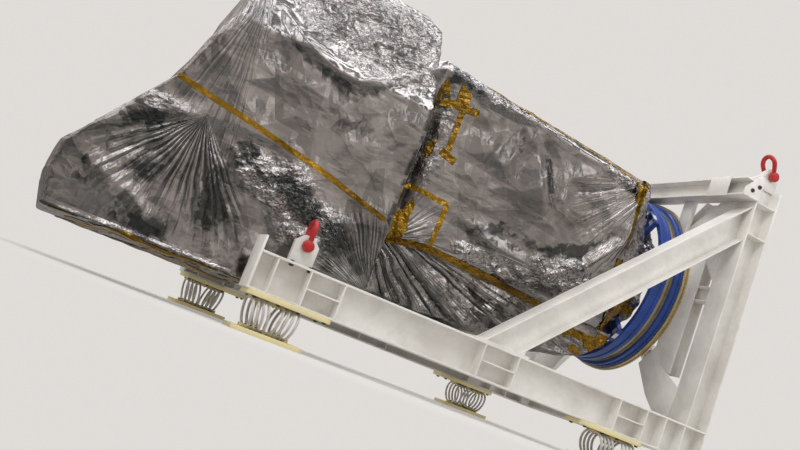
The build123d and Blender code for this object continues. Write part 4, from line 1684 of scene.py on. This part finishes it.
@dataclass
class RingStack:
    """The rings on the satellite's axis: spun flanges with grooves, bolt circles and brackets."""

    steps: int = 144
    lip: float = 0.004
    bolts: int = 60
    bolt_size: float = 0.012
    front_circle: float = 0.888
    back_circle: float = 0.908
    bracket_inner: float = 0.702
    bracket_outer: float = 0.905
    bracket_deep: float = 0.060
    bracket_half: float = 0.085
    bracket_foot: float = 0.014
    bracket_wall: float = 0.012
    bracket_edge: float = 0.002
    seat_gap: float = 0.0005
    tag_half: float = 0.034
    tag_thick: float = 0.002
    card_half: float = 0.036
    card_rise: tuple[float, float] = (0.10, 0.045)
    card_out: tuple[float, float] = (0.0165, 0.0145)

    def spun(self, node: str, coat: Coating, slot: Slot, groove: float) -> None:
        """Spins one ring's section about the axis.

        Args:
            node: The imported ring.
            coat: Its finish.
            slot: Its slot.
            groove: Depth of the groove round its outer face.
        """
        low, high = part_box(node)
        outer, bore = (high.z - low.z) / 2, self.bore(node)
        lip, wide = self.lip, high.x - low.x
        section = [
            (low.x + lip, bore), (high.x - lip, bore), (high.x, bore + lip), (high.x, outer - lip),
            (high.x - lip, outer), (high.x - wide * 0.30, outer), (high.x - wide * 0.34, outer - groove),
            (low.x + wide * 0.34, outer - groove), (low.x + wide * 0.30, outer), (low.x + lip, outer),
            (low.x, outer - lip), (low.x, bore + lip),
        ]
        shape = bmesh.new()
        loop = [shape.verts.new((x, 0, DATUM.axis + r)) for x, r in section]
        edges = [shape.edges.new((a, b)) for a, b in zip(loop, [*loop[1:], loop[0]])]
        bmesh.ops.spin(
            shape, geom=[*loop, *edges], cent=(0, 0, DATUM.axis), axis=(1, 0, 0), dvec=(0, 0, 0),
            angle=2 * pi, steps=self.steps, use_merge=True, use_duplicate=False,
        )
        bmesh.ops.remove_doubles(shape, verts=shape.verts, dist=1e-6)
        bmesh.ops.recalc_face_normals(shape, faces=shape.faces)
        make_piece(shape, "spun_" + node, coat, slot, smooth=35.0, stands_for=(node,))

    def bore(self, node: str) -> float:
        """Measures a ring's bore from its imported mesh.

        Args:
            node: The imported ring.

        Returns:
            The bore's radius.
        """
        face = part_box(node)[1].x
        verts = [v.co for v in frame["nodes"][node].data.vertices if v.co.x > face - 0.001]
        return min(hypot(spot.y, spot.z - DATUM.axis) for spot in verts)

    def build(self) -> None:
        """Builds the rings, their bolts and the brackets on the front ring."""
        self.spun("carrier_ring", GOLD, Slot.GOLD, 0.010)
        self.spun("blue_ring_rear", BLUE, Slot.BLUE, 0.012)
        self.spun("clamp_band", BAND, Slot.BAND, 0.016)
        self.spun("blue_ring_front", BLUE, Slot.BLUE, 0.012)
        bolts = bmesh.new()
        circles = ((self.front_circle, DATUM.ring_face, -1), (self.back_circle, DATUM.ring_back, 1))
        for (radius, x, way), index in product(circles, range(self.bolts)):
            angle = 2 * pi * (index + 0.5) / self.bolts
            at = Vector((x, radius * cos(angle), DATUM.axis + radius * sin(angle)))
            add_bolt(bolts, at, Vector((way, 0, 0)), self.bolt_size)
        make_piece(bolts, "ring_bolts", DARK, Slot.BLUE)
        self.brackets()

    def brackets(self) -> None:
        """Builds the four blue brackets on the front ring, each with two bare white tags."""
        shape, tags = bmesh.new(), bmesh.new()
        face, inner, outer = DATUM.ring_face, self.bracket_inner, self.bracket_outer
        half, wall = self.bracket_half, self.bracket_wall
        front, foot = face - self.bracket_deep, face - self.bracket_foot
        for index in range(4):
            turn = Matrix.Translation((0, 0, DATUM.axis)) @ Matrix.Rotation(radians(45 + 90 * index), 4, "X")
            made = add_box(shape, (foot, -half, inner), (face - self.seat_gap, half, outer))
            for side in (-1, 1):
                low, high = sorted((side * half, side * (half - wall)))
                made += add_box(shape, (front, low, inner), (foot, high, outer))
            made += add_box(shape, (front, -half + wall, outer - wall), (foot, half - wall, outer))
            bmesh.ops.transform(shape, matrix=turn, verts=made)
            on_top = (face - 0.010, self.tag_half, outer + self.tag_thick)
            tag = add_box(tags, (front + 0.006, -self.tag_half, outer), on_top)
            cards = ((face - out, y, outer - rise) for out, y, rise in zip(
                self.card_out, (-self.card_half, self.card_half), self.card_rise))
            tag += add_box(tags, *cards)
            bmesh.ops.transform(tags, matrix=turn, verts=tag)
        bevel_sharp(shape, self.bracket_edge)
        make_piece(shape, "ring_brackets", BLUE, Slot.BLUE)
        make_piece(tags, "bracket_tags", TAG, Slot.BLUE)


# Studio


@dataclass(frozen=True)
class Studio:
    """Floor, world, lamps and camera."""

    pale: Colour = (0.74, 0.715, 0.69)
    floor_radius: float = 60.0
    aim: Point = (-0.147, -0.6, 1.37)
    distance: float = 8.163
    azimuth: float = 21.08
    eye_height: float = 0.10
    roll_up: Point = (-0.4426, -0.1699, 0.8805)
    lens: float = 40.75
    lamp_aim: Point = (0.3, 0.0, 1.4)
    lamps: tuple[tuple[str, Point, float, float, float], ...] = (
        ("key", (-3.5, -6.0, 7.5), 4.5, 2.2, 300.0),
        ("fill", (6.5, -7.0, 4.5), 4.0, 3.0, 160.0),
        ("back", (1.0, 7.5, 6.5), 5.0, 2.5, 220.0),
        ("front", (-9.0, 0.5, 4.5), 3.0, 3.0, 105.0),
        ("top", (0.5, 0.0, 8.5), 6.0, 1.2, 180.0),
    )

    def build(self) -> None:
        """Builds the whole studio."""
        bpy.context.scene.view_settings.view_transform = "Standard"
        self.lay_floor()
        self.make_world()
        self.hang_lamps()
        self.place_camera()

    def mirrored(self, graph: Graph) -> NodeSocket:
        """Gives the mask of rays that metal and glass throw back or let through."""
        rays = graph.node("LightPath").outputs
        return graph.maths("MAXIMUM", rays["Is Glossy Ray"], rays["Is Transmission Ray"])

    def lay_floor(self) -> None:
        """Lays a round pale floor that fades into the backdrop's colour; in reflections it glows dark and
        mottled, a painted reflection.
        """
        shape = bmesh.new()
        bmesh.ops.create_circle(shape, cap_ends=True, segments=96, radius=self.floor_radius)
        plane = put("floor", mesh_of(shape, "floor"))
        made = bpy.data.materials.new("pale floor")
        made.use_nodes = True
        graph = Graph(made.node_tree)
        matt = graph.feed(graph.tree.nodes["Principled BSDF"], {
            "Base Color": self.pale, "Roughness": 0.7, "Specular IOR Level": 0.0,
        })
        spot = graph.spot()
        away = graph.node("VectorMath", {0: spot}, operation="LENGTH").outputs["Value"]
        glow = graph.node("Emission", {"Color": self.pale})
        seen = graph.blend(graph.spread(away, 2.4, 4.4, 0.45), matt.outputs[0], glow.outputs[0])
        # Painted reflection: reflections see the floor glow in dark, mottled patches.
        painted_floor_reflection = graph.ramp(graph.noise(spot, 0.42, 1.0), [
            (0.38, (0.075, 0.08, 0.075)), (0.50, (0.21, 0.205, 0.20)), (0.64, (0.40, 0.39, 0.38)),
        ])
        dark = graph.node("Emission", {"Color": painted_floor_reflection})
        shown = graph.blend(self.mirrored(graph), seen, dark.outputs[0])
        graph.feed(graph.tree.nodes["Material Output"], {0: shown})
        plane.data.materials.append(made)

    def make_world(self) -> None:
        """Makes the world: pale behind the object, and light and dark areas in what the foil mirrors."""
        made = bpy.data.worlds.new("surroundings")
        bpy.context.scene.world = made
        made.use_nodes = True
        graph = Graph(made.node_tree)
        way = graph.node("TexCoord").outputs["Generated"]
        rise = graph.node("SeparateXYZ", {0: way}).outputs["Z"]
        storeys = graph.ramp(graph.maths("MULTIPLY_ADD", rise, 0.5, 0.5), [
            (0.0, (0.12, 0.125, 0.12)), (0.44, (0.14, 0.14, 0.135)), (0.50, (0.20, 0.195, 0.19)),
            (0.56, (0.33, 0.30, 0.285)), (0.70, (0.42, 0.39, 0.375)), (0.80, (0.64, 0.63, 0.62)),
            (0.90, (0.92, 0.92, 0.94)), (1.0, (1.15, 1.15, 1.18)),
        ])
        shades = graph.ramp(graph.noise(way, 2.3, 1.0), [
            (0.34, (0.42, 0.43, 0.42)), (0.48, (0.95, 0.94, 0.93)), (0.66, (1.5, 1.48, 1.46)),
        ])
        turned = graph.node("Mapping", {0: way, "Rotation": (0.3, 0.2, 0.5)}).outputs[0]
        strips = graph.node("TexWave", {0: turned, "Scale": 1.6, "Distortion": 1.5, "Detail": 1.0})
        lights = graph.ramp(strips.outputs["Fac"], [
            (0.40, (0.22, 0.22, 0.23)), (0.60, (0.8, 0.8, 0.8)), (0.74, (2.6, 2.6, 2.65)),
        ])
        lit = graph.mix(graph.spread(rise, 0.25, 0.6), (1.0, 1.0, 1.0), lights)
        around = graph.mix(1.0, graph.mix(1.0, storeys, shades, "MULTIPLY"), lit, "MULTIPLY")
        seen = graph.node("Background", {"Color": self.pale, "Strength": 1.0})
        foil = graph.node("Background", {"Color": around, "Strength": 1.0})
        light = graph.node("Background", {"Color": (1.0, 0.985, 0.96), "Strength": 0.58})
        lighting = graph.blend(self.mirrored(graph), light.outputs[0], foil.outputs[0])
        direct = graph.node("LightPath").outputs["Is Camera Ray"]
        graph.feed(graph.tree.nodes["World Output"], {0: graph.blend(direct, lighting, seen.outputs[0])})

    def hang_lamps(self) -> None:
        """Hangs the soft lamps."""
        for name, at, wide, high, power in self.lamps:
            lamp = bpy.data.lights.new(name, "AREA")
            lamp.shape = "RECTANGLE"
            lamp.size = wide
            lamp.size_y = high
            lamp.energy = power
            holder = put(name, lamp)
            holder.location = at
            holder.visible_glossy = False
            ahead = Vector(self.lamp_aim) - Vector(at)
            holder.rotation_euler = ahead.to_track_quat("-Z", "Y").to_euler()

    def place_camera(self) -> None:
        """Places the camera at floor level, on the photograph's bearing and with its roll."""
        level = Vector((sin(radians(self.azimuth)), cos(radians(self.azimuth)), 0))
        aim = Vector(self.aim)
        rise = asin((aim.z - self.eye_height) / self.distance)
        ahead = level * cos(rise) + Vector((0, 0, sin(rise)))
        right = ahead.cross(Vector(self.roll_up)).normalized()
        turn = Matrix((right, right.cross(ahead), -ahead)).transposed()
        made = bpy.data.cameras.new("camera")
        made.lens = self.lens
        made.sensor_width = 36.0
        made.clip_end = 200.0
        holder = put("camera", made)
        holder.matrix_world = Matrix.Translation(aim - ahead * self.distance) @ turn.to_4x4()
        bpy.context.scene.camera = holder


def film_bags() -> tuple[FilmShell, ...]:
    """Lists the bags, each with its folds and the sheet that it is cut from.

    Returns:
        The bags, from the nose to the loose film below.
    """
    return (
        ForwardBag("film_forward", "satellite_forward", 0.020, (6.2, 4.7), 29.0, "draped", ("film_bus",),
                   creases=FORWARD_CREASES, fans=FORWARD_FANS, patches=FORWARD_PATCHES,
                   shades=FORWARD_SHADES, seed=5),
        TubeBag("film_bus", "satellite_bus", 0.020, (6.9, 2.5), 17.0, "stretched",
                ("spun_blue_ring_front",), creases=BUS_CREASES, fans=BUS_FANS, patches=BUS_PATCHES,
                shades=BUS_SHADES, seed=23),
        NeckBag("film_aft", "satellite_aft", 0.015, (5.5, 0.9), 4.9, "gathered",
                ("spun_blue_ring_front",), fold_slope=0.2, fold_length=0.22, crumple_slope=0.25,
                crumple_size=0.2, everywhere=0.5, seed=41),
        # The loose film below gets painted shade all over.
        SkirtBag("film_belly", "film_skirt", 0.018, (2.7, 2.6), 6.8, "hung", ("film_bus",),
                 fold_slope=0.20, fold_length=0.30, crumple_slope=0.12, crumple_size=0.3,
                 everywhere=0.10, fans=BELLY_FANS, painted_shade=0.30, seed=57),
    )


def build_film() -> None:
    """Builds the film bags, tapes them, and lays the amber wraps on them."""
    bags = [(bag, bag.build()) for bag in film_bags()]
    for bag, piece in bags:
        LOG.info("%s: %.2f square metres", bag.name, sum(face.area for face in piece.data.polygons))
    skins = [BVHTree.FromObject(piece, bpy.context.evaluated_depsgraph_get()) for _, piece in bags]
    tapes = [run.build(skins) for run in TAPES]
    hosts = {bag.name: piece for bag, piece in bags}
    wraps = [(wrap.host, wrap.build(hosts[wrap.host])) for wrap in WRAPS]
    for bag, piece in bags:
        stuck = [made for host, made in wraps if host == bag.name]
        if bag.name == "film_bus":
            stuck += tapes
        list(bag.rests_on)


def main() -> None:
    """Builds every sub-assembly in order."""
    logging.basicConfig(level=logging.INFO, format="%(name)s %(message)s")
    Studio().build()
    SteelWork().build()
    FrameBolts().build()
    RingStack().build()
    IsolatorPlates().build()
    for end, side in product(ENDS, SIDES):
        Isolator(end, side).build()
    for side in SIDES:
        Shackle("front", side, 0.0, 0.460, 0.330).build()
        Shackle("column", side, 25.0, 2.850, 4.420).build()
    build_film()


if __name__ == "__main__":
    main()
